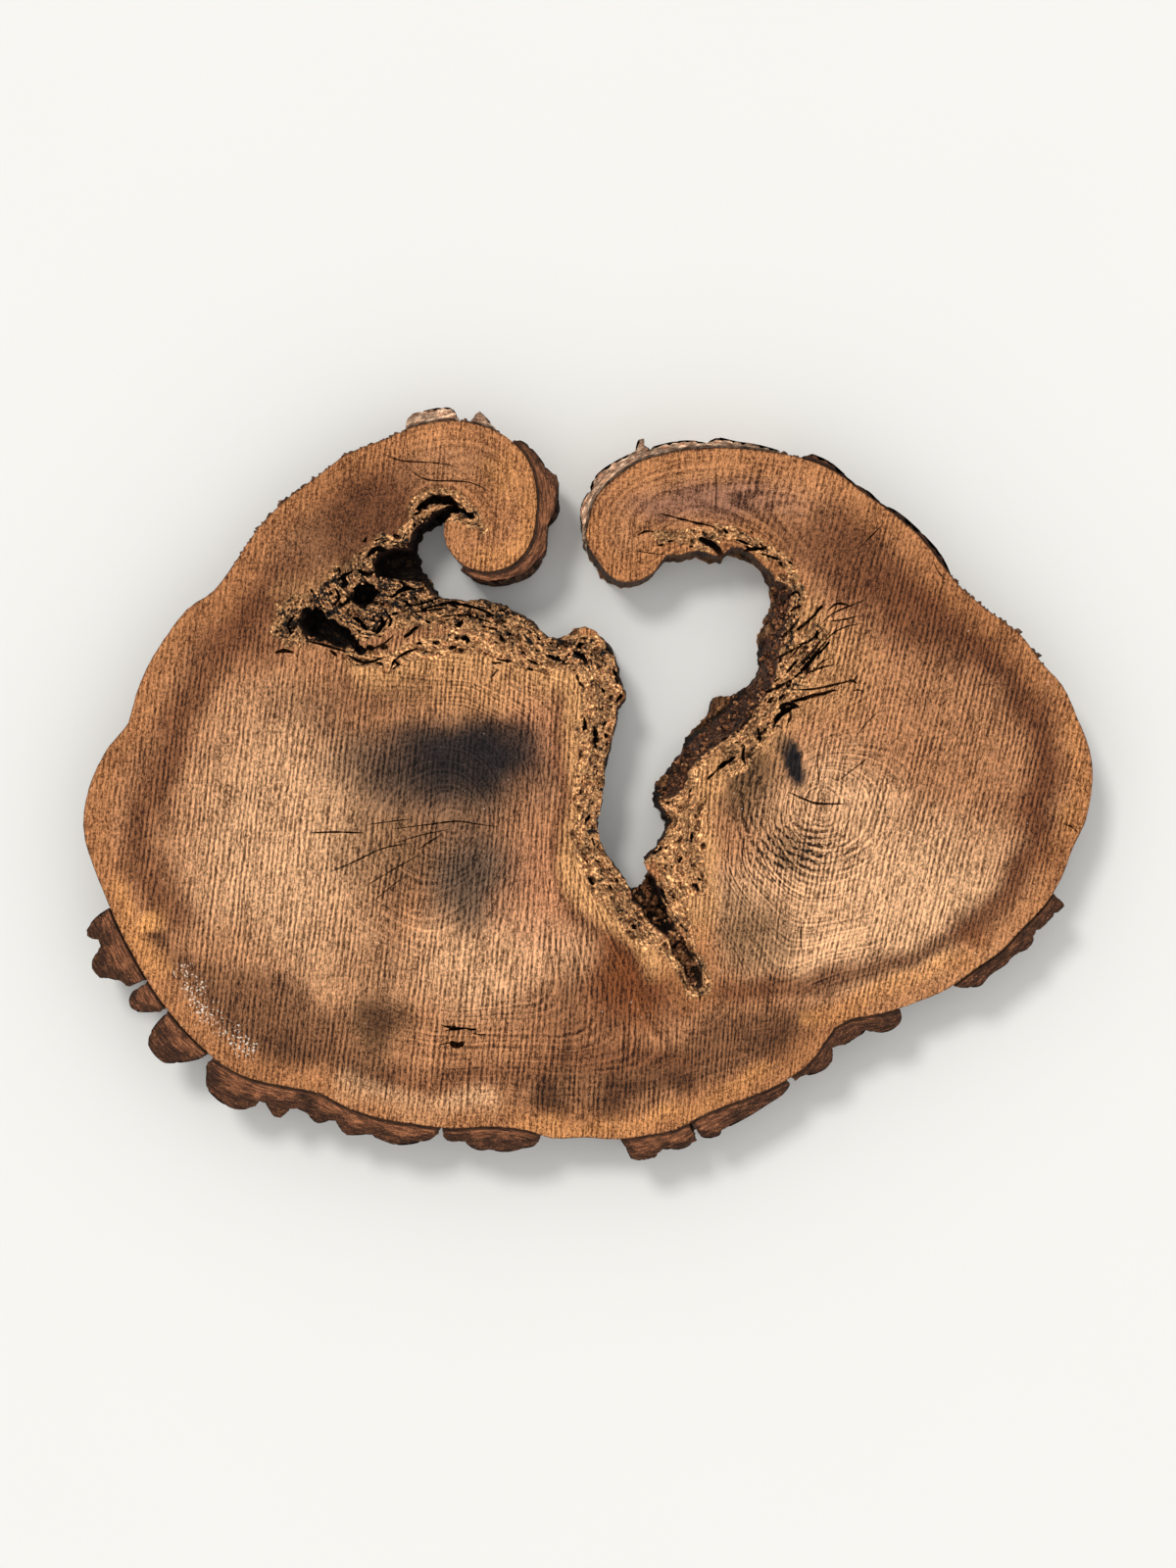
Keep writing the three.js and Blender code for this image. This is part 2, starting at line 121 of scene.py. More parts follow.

# Colours, as red, green and blue from 0 to 255.
PALE_HEART = (214, 166, 124)
MID_HEART = (170, 118, 80)
DEEP_HEART = (104, 60, 34)
UMBER = (92, 58, 36)
RUST = (116, 62, 26)
SAPWOOD = (177, 118, 73)
SAP_GLOW = (228, 162, 98)
INK = (30, 26, 28)
SOOT = (88, 70, 56)
OLIVE = (108, 78, 50)
MAUVE = (130, 90, 74)
ROSE = (190, 130, 94)
CRUMBLED = (206, 152, 100)
CHALKY = (250, 238, 222)

# Soft patches of colour: middle, half width, half height, turn in degrees, colour, strength.
TONE_PATCHES = (
    ((-310, -60), 120, 150, 0, PALE_HEART, 0.85),
    ((-330, 70), 70, 50, 0, PALE_HEART, 0.2),
    ((-250, -190), 90, 60, 0, PALE_HEART, 0.25),
    ((-360, -190), 50, 60, 0, MID_HEART, 0.5),
    ((-300, -270), 70, 30, 30, UMBER, 0.5),
    ((-170, -250), 60, 40, 0, MID_HEART, 0.4),
    ((-90, -180), 110, 70, 0, PALE_HEART, 0.75),
    ((-60, -110), 60, 90, 0, ROSE, 0.5),
    ((-20, -230), 120, 50, 10, MID_HEART, 0.5),
    ((330, -130), 130, 110, 30, PALE_HEART, 1.0),
    ((250, -40), 90, 90, 0, PALE_HEART, 0.8),
    ((200, -120), 100, 60, 0, PALE_HEART, 0.8),
    ((230, -170), 100, 36, 0, PALE_HEART, 0.9),
    ((240, 120), 60, 60, 0, CRUMBLED, 0.35),
    ((360, 60), 70, 70, 0, MID_HEART, 0.5),
    ((-100, 100), 110, 36, 0, CRUMBLED, 0.45),
    ((-60, 40), 40, 60, 0, ROSE, 0.5),
    ((-270, 72), 60, 30, -10, UMBER, 0.4),
    ((-200, 96), 60, 24, 0, UMBER, 0.45),
    ((-340, 170), 50, 60, -30, DEEP_HEART, 0.7),
    ((-380, 210), 40, 70, -40, UMBER, 0.5),
    ((-220, 280), 76, 66, 0, DEEP_HEART, 0.85),
    ((-260, 240), 90, 50, 40, UMBER, 0.5),
    ((-95, 280), 46, 60, 0, SAPWOOD, 0.6),
    ((-70, 320), 40, 30, 0, SAP_GLOW, 0.4),
    ((110, 288), 110, 20, 0, MAUVE, 0.7),
    ((60, 250), 60, 40, 0, SAPWOOD, 0.3),
    ((280, 228), 90, 50, -35, DEEP_HEART, 0.8),
    ((180, 250), 60, 30, -10, DEEP_HEART, 0.45),
    ((350, 170), 90, 50, -30, DEEP_HEART, 0.85),
    ((-376, 196), 60, 34, 50, MID_HEART, 0.8),
    ((490, 30), 24, 60, 0, MID_HEART, 0.4),
    ((60, -180), 64, 66, 0, DEEP_HEART, 0.85),
    ((44, -186), 46, 80, 0, RUST, 0.8),
    ((0, -240), 90, 50, 0, DEEP_HEART, 0.5),
    ((20, -306), 120, 34, 0, UMBER, 0.55),
    ((20, -334), 40, 20, 0, UMBER, 0.6),
    ((214, -258), 70, 34, 24, UMBER, 0.75),
    ((150, -258), 80, 34, 20, UMBER, 0.7),
    ((90, -290), 70, 26, 0, UMBER, 0.5),
    ((-216, -244), 40, 40, 0, OLIVE, 0.7),
    ((-210, -236), 26, 28, 0, UMBER, 0.7),
    ((-330, -226), 80, 36, -32, UMBER, 0.6),
    ((-440, 40), 40, 80, 0, MID_HEART, 0.5),
    ((-470, 10), 30, 90, 0, MID_HEART, 0.5),
    ((-130, -70), 76, 70, 0, SOOT, 0.5),
    ((-122, -100), 46, 56, 0, SOOT, 0.85),
    ((-210, -60), 60, 60, 0, OLIVE, 0.5),
    ((-150, 14), 120, 60, 0, SOOT, 0.75),
    ((-190, 22), 80, 44, -6, INK, 0.55),
    ((-120, 24), 84, 46, -8, INK, 0.9),
    ((-84, 40), 50, 34, -20, INK, 0.75),
    ((164, 6), 34, 50, 0, OLIVE, 0.9),
    ((172, -158), 50, 40, 0, OLIVE, 0.65),
    ((150, -130), 30, 40, 20, OLIVE, 0.5),
    ((206, -70), 30, 20, -30, OLIVE, 0.6),
    ((204, 30), 13, 25, 24, INK, 2.5),
    ((-44, -318), 12, 24, 0, UMBER, 1.4),
    ((-34, -334), 14, 10, 0, UMBER, 1.2),
    ((26, -316), 12, 30, 0, UMBER, 1.5),
    ((44, -308), 24, 14, 0, UMBER, 1.0),
    ((88, -304), 22, 14, 0, UMBER, 1.3),
    ((190, -264), 30, 18, 30, UMBER, 0.9),
    ((-446, -148), 14, 26, -30, SAP_GLOW, 1.0),
    ((-438, -162), 12, 9, 0, UMBER, 1.4),
)

# Soft lines of colour: the line, its half width, colour, strength.
TONE_LINES = (
    (((-350, 180), (-396, 120), (-424, 40), (-452, -30), (-456, -80), (-420, -130)), 24,
     DEEP_HEART, 0.72),
    (((-300, 220), (-360, 200), (-400, 160)), 20, DEEP_HEART, 0.4),
    (((350, 200), (430, 120), (460, 60), (466, 0), (456, -70), (430, -110), (390, -150)), 22,
     DEEP_HEART, 0.9),
    (((390, -150), (300, -190), (160, -206), (100, -230)), 13, DEEP_HEART, 0.8),
    (((-420, -180), (-360, -250), (-280, -280), (-200, -300)), 18, UMBER, 0.6),
    (((-200, -300), (-100, -296), (0, -280), (100, -280)), 14, DEEP_HEART, 0.5),
    (((-240, -312), (-180, -330), (-100, -328)), 18, PALE_HEART, 0.9),
    (((-60, -346), (0, -352), (60, -350), (110, -332), (180, -296)), 10, SAP_GLOW, 0.7),
    (((230, -240), (300, -214), (380, -180)), 14, SAP_GLOW, 0.6),
    (((496, 60), (502, 0), (492, -50)), 10, SAP_GLOW, 0.5),
    (((-52, 290), (-60, 250), (-80, 230), (-110, 228)), 12, SAP_GLOW, 0.7),
    (((10, 270), (14, 240), (34, 218), (52, 226)), 14, SAPWOOD, 0.6),
    (((-480, -110), (-466, -146), (-440, -190)), 13, SAP_GLOW, 0.8),
    (((-26, 90), (-30, 20), (-30, -70), (-8, -134), (50, -186), (90, -214)), 8, DEEP_HEART, 0.6),
    (((0, 110), (-8, 60), (-10, -20), (-8, -90), (20, -136), (70, -176)), 17, CRUMBLED, 0.95),
    (((96, -180), (116, -120), (118, -60), (118, -10), (134, 24)), 17, CRUMBLED, 0.8),
    (((-230, 118), (-190, 116), (-150, 130), (-80, 128), (-20, 108)), 20, CRUMBLED, 0.8),
    (((-310, 196), (-280, 206), (-240, 214), (-210, 232)), 16, CRUMBLED, 0.25),
    (((170, 36), (206, 84), (232, 124), (226, 170)), 20, CRUMBLED, 0.5),
)

# Where the growth rings show: middle, half width, half height, strength.
RING_PATCHES = (
    ((-134, -40), 130, 110, 0.9),
    ((-134, -110), 130, 90, 0.9),
    ((234, -16), 120, 110, 0.9),
    ((210, -60), 100, 90, 1.2),
    ((184, -86), 66, 50, 2.4),
    ((210, -170), 120, 60, 1.0),
    ((0, -260), 240, 70, 0.9),
    ((-10, -190), 70, 120, 1.2),
    ((-20, -150), 100, 110, 0.8),
    ((110, 280), 140, 70, 1.05),
    ((-110, 300), 110, 90, 0.7),
    ((-100, 100), 130, 50, 0.9),
    ((240, 110), 120, 70, 0.6),
)

# Where wide, dark rings show round the right pith: middle, half width, half height, strength.
DASH_PATCHES = (
    ((166, -26), 20, 56, 0.8),
    ((206, -66), 58, 33, 1.1),
    ((246, -70), 36, 27, 0.7),
    ((198, -40), 20, 18, 0.6),
    ((180, -88), 36, 24, 0.6),
)

# Where the saw marks are faint, worn away or stained over.
SMOOTH_PATCHES = (
    ((-230, 260), 110, 90, 0.8),
    ((-130, 300), 120, 80, 0.7),
    ((-110, 20), 70, 50, 0.5),
    ((-210, -240), 40, 44, 0.7),
    ((60, -180), 60, 60, 0.4),
    ((180, 250), 150, 60, 0.6),
    ((80, 290), 90, 60, 0.85),
    ((-380, 190), 70, 60, 0.5),
)

# Edges of the saw's passes: where each crosses y = 0, from and up to which y, reach, strength.
SAW_PASSES = (
    (-174, -330, -60, 60, 0.2),
    (-126, 296, 372, 50, 0.18),
    (-262, -320, -140, 30, 0.1),
    (128, 230, 340, 40, 0.12),
    (4, -340, -180, 26, 0.22),
)

# Splits: the line, width and depth.
SPLITS = (
    (((266, 106), (270, 105), (276, 102)), 2.4, 7),
    (((173, 58), (175, 50), (176, 42)), 4.0, 12),
    (((150, 64), (156, 70), (162, 76)), 4.5, 12),
    (((186, 126), (200, 132), (216, 141)), 2.6, 9),
    (((196, 148), (206, 157), (216, 170)), 3.2, 9),
    (((178, 92), (190, 97), (202, 104)), 3.4, 12),
    (((136, 62), (148, 72), (160, 88)), 4.5, 14),
    (((206, 176), (212, 180), (218, 182)), 3.0, 9),
    (((212, 120), (222, 128), (230, 138)), 2.2, 8),
    (((-92, 118), (-96, 112), (-100, 108)), 2.0, 7),
    (((-200, 116), (-196, 120), (-190, 122)), 2.2, 8),
    (((-285, -50), (-258, -49), (-228, -50)), 2.2, 8),
    (((-200, -46), (-160, -41), (-134, -38), (-112, -41), (-90, -44)), 1.8, 8),
    (((-266, -91), (-240, -80), (-210, -66), (-180, -60)), 1.8, 7),
    (((-172, -66), (-160, -58), (-150, -52)), 1.8, 7),
    (((-230, -106), (-200, -88), (-172, -72)), 1.5, 6),
    (((-222, -122), (-200, -104), (-186, -94)), 1.3, 6),
    (((-196, -60), (-170, -52), (-140, -46)), 1.4, 6),
    (((-228, -42), (-200, -38), (-180, -36)), 1.3, 6),
    (((204, -8), (222, -16), (236, -20), (268, -20)), 2.4, 10),
    (((234, 30), (235, 12), (236, -4)), 1.4, 6),
    (((256, 4), (272, 16), (290, 30)), 1.4, 6),
    (((272, 46), (284, 62), (296, 74)), 1.4, 6),
    (((218, -136), (217, -156), (219, -176)), 1.5, 6),
    (((276, 240), (290, 254), (300, 264)), 1.5, 6),
    (((352, 228), (358, 216), (366, 208)), 1.5, 6),
    (((484, -40), (494, -44), (500, -50)), 1.6, 6),
    (((-210, 337), (-190, 330), (-168, 328)), 1.3, 7),
    (((-190, 330), (-150, 327), (-130, 322)), 1.2, 7),
    (((-186, 326), (-166, 311), (-122, 308), (-98, 297)), 1.5, 8),
    (((130, 320), (131, 300), (129, 272)), 1.2, 6),
    (((48, 239), (60, 236), (80, 234)), 1.2, 6),
    (((50, 254), (60, 258), (68, 257)), 2.4, 9),
    (((158, 238), (170, 240), (182, 240)), 4.0, 16),
    (((174, 236), (186, 232), (197, 229)), 3.0, 14),
    (((112, -210), (114, -216), (114, -222)), 1.6, 8),
    (((-320, 134), (-310, 136), (-300, 134)), 4.0, 14),
    (((-94, 128), (-86, 126), (-78, 125)), 3.0, 10),
    (((222, 112), (236, 118), (252, 122)), 2.0, 8),
    (((214, 142), (226, 146), (240, 158)), 3.0, 10),
    (((244, 176), (254, 184), (268, 182)), 2.4, 9),
    (((246, 166), (262, 168), (276, 172)), 2.0, 8),
    (((114, 42), (126, 56), (144, 66)), 12.0, 22),
    (((92, 8), (98, 26), (112, 44)), 8.0, 20),
    (((236, 162), (250, 174), (268, 182), (284, 188)), 1.8, 8),
    (((238, 140), (248, 152), (262, 160), (280, 164)), 1.7, 8),
    (((206, 128), (214, 138), (222, 145)), 2.4, 9),
    (((200, 110), (208, 120), (215, 128)), 3.0, 10),
    (((206, 96), (230, 97), (250, 101), (274, 107)), 2.6, 10),
    (((214, 118), (226, 130), (240, 150)), 2.0, 9),
    (((224, 126), (236, 138), (244, 146)), 2.2, 9),
    (((228, 112), (238, 124), (246, 128)), 1.8, 8),
    (((194, 76), (204, 82), (216, 78)), 5.0, 14),
    (((204, 80), (207, 70), (203, 60)), 3.4, 12),
    (((270, 95), (276, 96), (282, 94)), 1.6, 6),
    (((160, 40), (158, 28), (161, 20)), 3.4, 12),
    (((186, 162), (187, 146), (184, 132)), 8.0, 22),
    (((194, 196), (199, 180), (196, 160)), 9.0, 22),
    (((206, 192), (213, 196), (218, 190)), 3.0, 10),
    (((168, 100), (176, 108), (180, 118)), 6.0, 18),
    (((152, 78), (160, 84), (166, 92)), 5.0, 16),
    (((-212, 172), (-209, 164), (-212, 158)), 4.0, 14),
    (((-204, 174), (-201, 166), (-204, 160)), 3.4, 14),
    (((-252, 212), (-248, 206), (-252, 200)), 6.0, 18),
    (((-240, 196), (-246, 186), (-256, 182)), 4.0, 14),
    (((-262, 180), (-254, 190), (-258, 200)), 3.4, 14),
    (((-226, 232), (-216, 240), (-204, 238)), 6.0, 20),
    (((-236, 220), (-226, 214), (-214, 218)), 4.0, 16),
    (((-196, 196), (-186, 200), (-176, 198)), 5.0, 14),
    (((-190, 182), (-170, 184), (-148, 192)), 2.6, 12),
    (((-186, 174), (-164, 177), (-142, 180)), 2.2, 12),
    (((-300, 172), (-306, 162), (-302, 152)), 4.0, 14),
    (((-288, 146), (-270, 142), (-244, 134)), 3.0, 12),
    (((-246, 132), (-228, 124), (-206, 130)), 3.0, 12),
    (((-222, 138), (-210, 142), (-198, 152)), 3.0, 12),
    (((-44, 132), (-32, 128), (-20, 122)), 4.0, 14),
    (((-16, 136), (-6, 130), (0, 122)), 5.0, 16),
    (((-62, 128), (-56, 124), (-50, 122)), 3.4, 12),
    (((-12, 112), (-9, 104), (-4, 98)), 3.2, 12),
    (((18, 146), (22, 138), (24, 132)), 6.0, 16),
    (((25, 118), (29, 110), (30, 102)), 4.0, 14),
    (((6, 60), (8, 48), (8, 36)), 5.0, 16),
    (((-4, 68), (-3, 60), (-5, 54)), 4.0, 12),
    (((70, -104), (76, -112), (82, -124)), 4.0, 14),
    (((60, -66), (68, -70), (76, -64)), 4.0, 14),
    (((-141, -263), (-134, -267), (-126, -264)), 7.0, 18),
    (((-150, -246), (-142, -248), (-134, -247)), 2.2, 9),
    (((-118, -254), (-110, -256), (-104, -255)), 2.0, 9),
    (((-152, -266), (-146, -265), (-140, -264)), 1.6, 8),
)

SPLIT_STEPS = 7

# How far above the front face a cutter starts.
ABOVE_SPLIT = 3
ABOVE_HOLE = 2

# Slots up to this wide are drawn together by the crags in their walls.
NARROW_SLOT = 18 * MM

# How wide the crumbled rim is beside the rotten stretches of outline, and the sapwood elsewhere.
ROTTEN_RIM = 15
LIVE_EDGE_REACH = 34

# Distance between the dark rings round the right pith.
DASH_PITCH = 7.6

# Farther from the rim of a piece of bark than its dark line reaches.
FAR_FROM_RIM = 9

# The least rot that counts: on the outline, in a facet, on a wall and at a point.
ROTTEN_OUTLINE = 0.02
ROTTEN_FACET = 0.04
ROTTEN_WALL = 0.1
ROTTEN_POINT = 0.01

# Longest edges that the walls of the slab keep, and three passes over the bark.
WALL_EDGE = 5.5
BARK_EDGES = (7, 4.5, 3.6)

# Random sizes of the small holes, the chips of bark and the crumbs of rot.
HOLE_LENGTHS = (1.3, 1.7, 2.2, 2.8, 3.6, 5.2)
CHIP_SIZES = (1.6, 2.1, 2.8, 3.8)
BAND_CRUMB_SIZES = (1.4, 1.9, 2.6, 3.4)

# Where crumbs of bark stick to the edge: the line, its reach, how thickly and how far out.
CRUMB_STRETCHES = (
    (((-300, 288), (-262, 320), (-230, 344), (-200, 358), (-160, 368)), 12, 0.6, 1.2),
    (((-160, 372), (-120, 372), (-84, 350)), 12, 0.35, 1.2),
    (((210, 340), (250, 326), (300, 290), (350, 240), (384, 206)), 14, 1.0, 1.2),
    (((212, 345), (254, 331), (304, 296), (354, 246), (376, 222)), 14, 1.6, 12),
    (((384, 206), (430, 166), (460, 130)), 12, 0.35, 1.2),
    (((-360, 236), (-330, 262), (-300, 290)), 10, 0.3, 1.2),
    (((-150, 210), (-120, 204), (-90, 212)), 14, 0.4, 1.2),
)

# The stage: metres of floor to each side and of sight, the light's spread in degrees and its way.
FLOOR_REACH = 60.0
CAMERA_RANGE = 50
KEY_SPREAD = 14
KEY_DIRECTION = (0.36, -0.52, -1.0)

# The seed of every random draw, and of the vector noise, which is seeded by the clock otherwise.
RANDOM_SEED = 29
seed_set(RANDOM_SEED)


def millimetres(points):
    return np.array(points, float) * MM


def flat_places(points):
    """The x and y of each point."""
    return np.array([tuple(point.xy) for point in points])


def distance_to_line(xy, line):
    """Distance from each point to a line of given points, in the slab's plane."""
    nearest = np.full(len(xy), np.inf)
    for start, end in zip(line[:-1], line[1:]):
        run = end - start
        share = np.clip(((xy - start) @ run) / (run @ run), 0, 1)
        gap = np.hypot(*(xy - start - share[:, None] * run).T)
        nearest = np.minimum(nearest, gap)
    return nearest


def soft_step(low, high, value):
    """0 at low, 1 at high, and smooth between, also where low is the larger."""
    share = np.clip((value - low) / (high - low), 0, 1)
    return share * share * (3 - 2 * share)


def band_share(xy, line, reach):
    """1 on a band's line, and 0 past its reach."""
    return 1 - soft_step(0.45, 1.15, distance_to_line(xy, millimetres(line)) / (reach * MM))


def rot_share(xy, openness=False):
    """How rotten the wood is, or how open the rot is, from 0 to 1."""
    share = np.zeros(len(xy))
    bent = xy + MM * np.array([
        tuple(
            noise_vector(Vector((x, y, 3)) * 34).xy * 8
            + noise_vector(Vector((x, y, 7)) * 110).xy * 5
        )
        for x, y in xy
    ])
    for line, reach, opened in ROT_BANDS:
        share = np.maximum(share, band_share(bent, line, reach) * (opened if openness else 1))
    return share


def rot_with_rim(xy):
    return np.maximum(rot_share(xy), EDGE.rotten_rim(xy))


def linear(colour):
    """A colour from 0 to 255 as the shader's linear values."""
    value = np.array(colour, float) / 255
    return np.where(value <= 0.04045, value / 12.92, ((value + 0.055) / 1.055) ** 2.4)


def merged_copy(node):
    """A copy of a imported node's mesh as a bmesh, with its loose triangles joined."""
    bm = bmesh.new()
    bm.from_mesh(frame["nodes"][node].data)
    bmesh.ops.remove_doubles(bm, verts=bm.verts, dist=1e-6)
    bmesh.ops.join_triangles(
        bm, faces=bm.faces, angle_face_threshold=0.7, angle_shape_threshold=0.9
    )
    return bm


def object_from(bm, name):
    mesh = bpy.data.meshes.new(name)
    bm.to_mesh(mesh)
    bm.free()
    made = bpy.data.objects.new(name, mesh)
    bpy.context.scene.collection.objects.link(made)
    return made


def combine(made, other, operation):
    """Cuts or keeps a solid by another, which is then removed."""
    modifier = made.modifiers.new("combine", "BOOLEAN")
    modifier.operation = operation
    modifier.solver = "MANIFOLD"
    modifier.object = other
    graph = bpy.context.evaluated_depsgraph_get()
    mesh = bpy.data.meshes.new_from_object(made.evaluated_get(graph))
    if not mesh.polygons:
        raise RuntimeError(f"{made.name} vanished in a boolean with {other.name}")
    made.modifiers.clear()
    spent = made.data
    made.data = mesh
    bpy.data.meshes.remove(spent)
    spent = other.data
    bpy.data.objects.remove(other)
    bpy.data.meshes.remove(spent)


def flat_tree(points):
    """A tree that finds the nearest of some points as seen from the front."""
    tree = kdtree.KDTree(len(points))
    for index, point in enumerate(points):
        tree.insert((point[0], point[1], 0), index)
    tree.balance()
    return tree


def nearest(tree, xy):
    """The index of the point in a tree that is nearest to each place, and its distance."""
    found = [tree.find((x, y, 0))[1:] for x, y in xy]
    return np.array([hit[0] for hit in found]), np.array([hit[1] for hit in found])


def in_order(parts):
    """Each part once, in the same order in every run, which a set of mesh parts isn't."""
    return dict.fromkeys(parts)


def lies_at(face, height):
    return all(abs(v.co.z - height) < IN_FACE for v in face.verts)


class EdgeField:
    """The front outline: how far a place is from it, how far along it, and which way it runs."""

    SPACING = 1.5 * MM

    def __init__(self):
        loop = self.longest_loop()
        points = []
        for start, end in zip(loop, loop[1:] + loop[:1]):
            count = max(1, round((end - start).length / self.SPACING))
            points += [start.lerp(end, step / count) for step in range(count)]
        self.points = np.array([tuple(point) for point in points])
        after = np.roll(self.points, -1, axis=0)
        before = np.roll(self.points, 1, axis=0)
        run = after - before
        self.tangents = run / np.linalg.norm(run, axis=1)[:, None]
        self.along = np.concatenate(
            ([0], np.cumsum(np.linalg.norm(after - self.points, axis=1))[:-1])
        )
        rotten = rot_share(self.points) >= ROTTEN_OUTLINE
        self.tree = flat_tree(self.points)
        self.live_tree = flat_tree(self.points[~rotten])
        self.rotten_tree = flat_tree(self.points[rotten])

    @staticmethod
    def longest_loop():
        bm = merged_copy("wood")
        top = {face for face in bm.faces if lies_at(face, FRONT)}
        rim = in_order(edge for edge in bm.edges if len(top.intersection(edge.link_faces)) == 1)
        loops = []
        while rim:
            edge = rim.popitem()[0]
            loop = [edge.verts[0], edge.verts[1]]
            while loop[-1] is not loop[0]:
                edge = next((e for e in loop[-1].link_edges if e in rim), None)
                if edge is None:
                    break
                del rim[edge]
                loop.append(edge.other_vert(loop[-1]))
            loops.append([v.co.xy.copy() for v in loop[:-1]])
        bm.free()
        return max(loops, key=lambda loop: sum((b - a).length for a, b in zip(loop, loop[1:])))

    def look(self, xy):
        """Distance, place along the edge and tangent for each point."""
        index, distance = nearest(self.tree, xy)
        return distance, self.along[index], self.tangents[index]

    def live_distance(self, xy):
        return nearest(self.live_tree, xy)[1]

    def rotten_rim(self, xy):
        """1 beside the rotten stretches of the outline, and 0 a little way in."""
        return 1 - soft_step(4, ROTTEN_RIM, nearest(self.rotten_tree, xy)[1] / MM)


EDGE = EdgeField()


class RingField:
    """The growth rings over the slab: 0 at a pith, 1 at the edge, and smooth between."""

    PITCH = 6 * MM
    MARGIN = 40 * MM
    SMOOTHING = 10

    def __init__(self):
        self.start = np.array(WOOD_LOW.xy) - self.MARGIN
        far = np.array(WOOD_HIGH.xy) + self.MARGIN
        columns, rows = np.ceil((far - self.start) / self.PITCH).astype(int)
        steps = np.stack(np.meshgrid(np.arange(columns), np.arange(rows)), axis=-1)
        xy = (self.start + steps * self.PITCH).reshape(-1, 2)
        value = self.share(xy, EDGE.look(xy)[0] * np.where(self.inside(xy), 1, -1))
        value = value.reshape(rows, columns)
        for _ in range(self.SMOOTHING):
            value = self.blurred(value)
        self.value = value

    @staticmethod
    def inside(xy):
        crossings = np.zeros(len(xy), int)
        for (x0, y0), (x1, y1) in zip(EDGE.points, np.roll(EDGE.points, -1, axis=0)):
            if y0 != y1:
                spans = (xy[:, 1] > min(y0, y1)) & (xy[:, 1] <= max(y0, y1))
                crossings += spans & (xy[:, 0] < x0 + (xy[:, 1] - y0) / (y1 - y0) * (x1 - x0))
        return crossings % 2 == 1

    @staticmethod
    def share(xy, distance):
        reaches = [np.hypot(*(xy - np.array(pith) * MM).T) for pith in PITHS]
        blend = PITH_BLEND * MM
        gap = np.clip(0.5 + 0.5 * (reaches[1] - reaches[0]) / blend, 0, 1)
        nearest = reaches[1] * (1 - gap) + reaches[0] * gap - blend * gap * (1 - gap)
        nearest = np.maximum(nearest, 0)
        return nearest / (nearest + np.maximum(distance, -0.4 * nearest) + 1e-6)

    @staticmethod
    def blurred(value):
        for axis in (0, 1):
            ends = [(1, 1) if side == axis else (0, 0) for side in (0, 1)]
            wide = np.pad(value, ends, mode="edge")
            steps = np.arange(value.shape[axis])
            parts = [np.take(wide, steps + shift, axis) for shift in range(3)]
            value = 0.25 * parts[0] + 0.5 * parts[1] + 0.25 * parts[2]
        return value

    def look(self, xy):
        place = (xy - self.start) / self.PITCH
        column, row = np.floor(place).astype(int).T
        across, up = (place - np.floor(place)).T
        low, high = (
            self.value[line, column] * (1 - across) + self.value[line, column + 1] * across
            for line in (row, row + 1)
        )
        return low * (1 - up) + high * up


def tone_at(xy, live_distance):
    """The slow changes of colour over the sawn face."""
    colour = np.tile(linear(MID_HEART), (len(xy), 1))

    def lay(paint, share):
        share = np.clip(share, 0, 1)[:, None]
        colour[:] = colour * (1 - share) + linear(paint) * share

    wander = np.array([
        (noise(Vector((x, y, 0)) * 21), noise(Vector((x, y, 5)) * 21)) for x, y in xy
    ]) * 14 * MM
    bent = xy + wander
    for middle, wide, tall, turn, paint, strength in TONE_PATCHES:
        angle = math.radians(turn)
        offset = bent - np.array(middle) * MM
        across = offset[:, 0] * math.cos(angle) + offset[:, 1] * math.sin(angle)
        up = offset[:, 1] * math.cos(angle) - offset[:, 0] * math.sin(angle)
        reach = np.hypot(across / (wide * MM), up / (tall * MM))
        lay(paint, strength * (1 - soft_step(0.35, 1.25, reach)))
    for line, reach, paint, strength in TONE_LINES:
        share = 1 - soft_step(0.2, 1.4, distance_to_line(bent, millimetres(line)) / (reach * MM))
        lay(paint, strength * share)
    across = saw_count(xy)
    for start, low, high, reach, strength in SAW_PASSES:
        up = xy[:, 1] / MM
        inside = soft_step(low - 20, low + 20, up) * soft_step(high + 20, high - 20, up)
        side = soft_step(start + 1.5, start - 1.5, across) * soft_step(start - reach, start, across)
        colour *= (1 - strength * inside * side)[:, None]
    rim = live_distance + wander[:, 0] * 0.4
    lay(SAPWOOD, 0.66 * (1 - soft_step(0.3, 1.15, rim / (LIVE_EDGE_REACH * MM))))
    return colour


def patch_share(xy, patches):
    """How strongly the listed patches cover each point."""
    total = np.zeros(len(xy))
    for middle, wide, tall, strength in patches:
        reach = np.hypot(*((xy - np.array(middle) * MM) / (wide * MM, tall * MM)).T)
        total = np.maximum(total, strength * (1 - soft_step(0.4, 1.2, reach)))
    return total


def saw_count(xy):
    """Distance across the saw marks, in millimetres: they lean more to the right."""
    lean = 0.12 - 0.05 * soft_step(-0.25, 0.0, xy[:, 0]) + 0.16 * soft_step(0.05, 0.3, xy[:, 0])
    return (xy[:, 0] - xy[:, 1] * lean) / MM


def put_attribute(mesh, name, kind, values):
    attribute = mesh.attributes.new(name, kind, "POINT")
    field = {"FLOAT": "value", "FLOAT_VECTOR": "vector", "FLOAT_COLOR": "color"}[kind]
    attribute.data.foreach_set(field, np.asarray(values, np.float32).ravel())


def put_floats(mesh, **fields):
    for name, values in fields.items():
        put_attribute(mesh, name, "FLOAT", values)


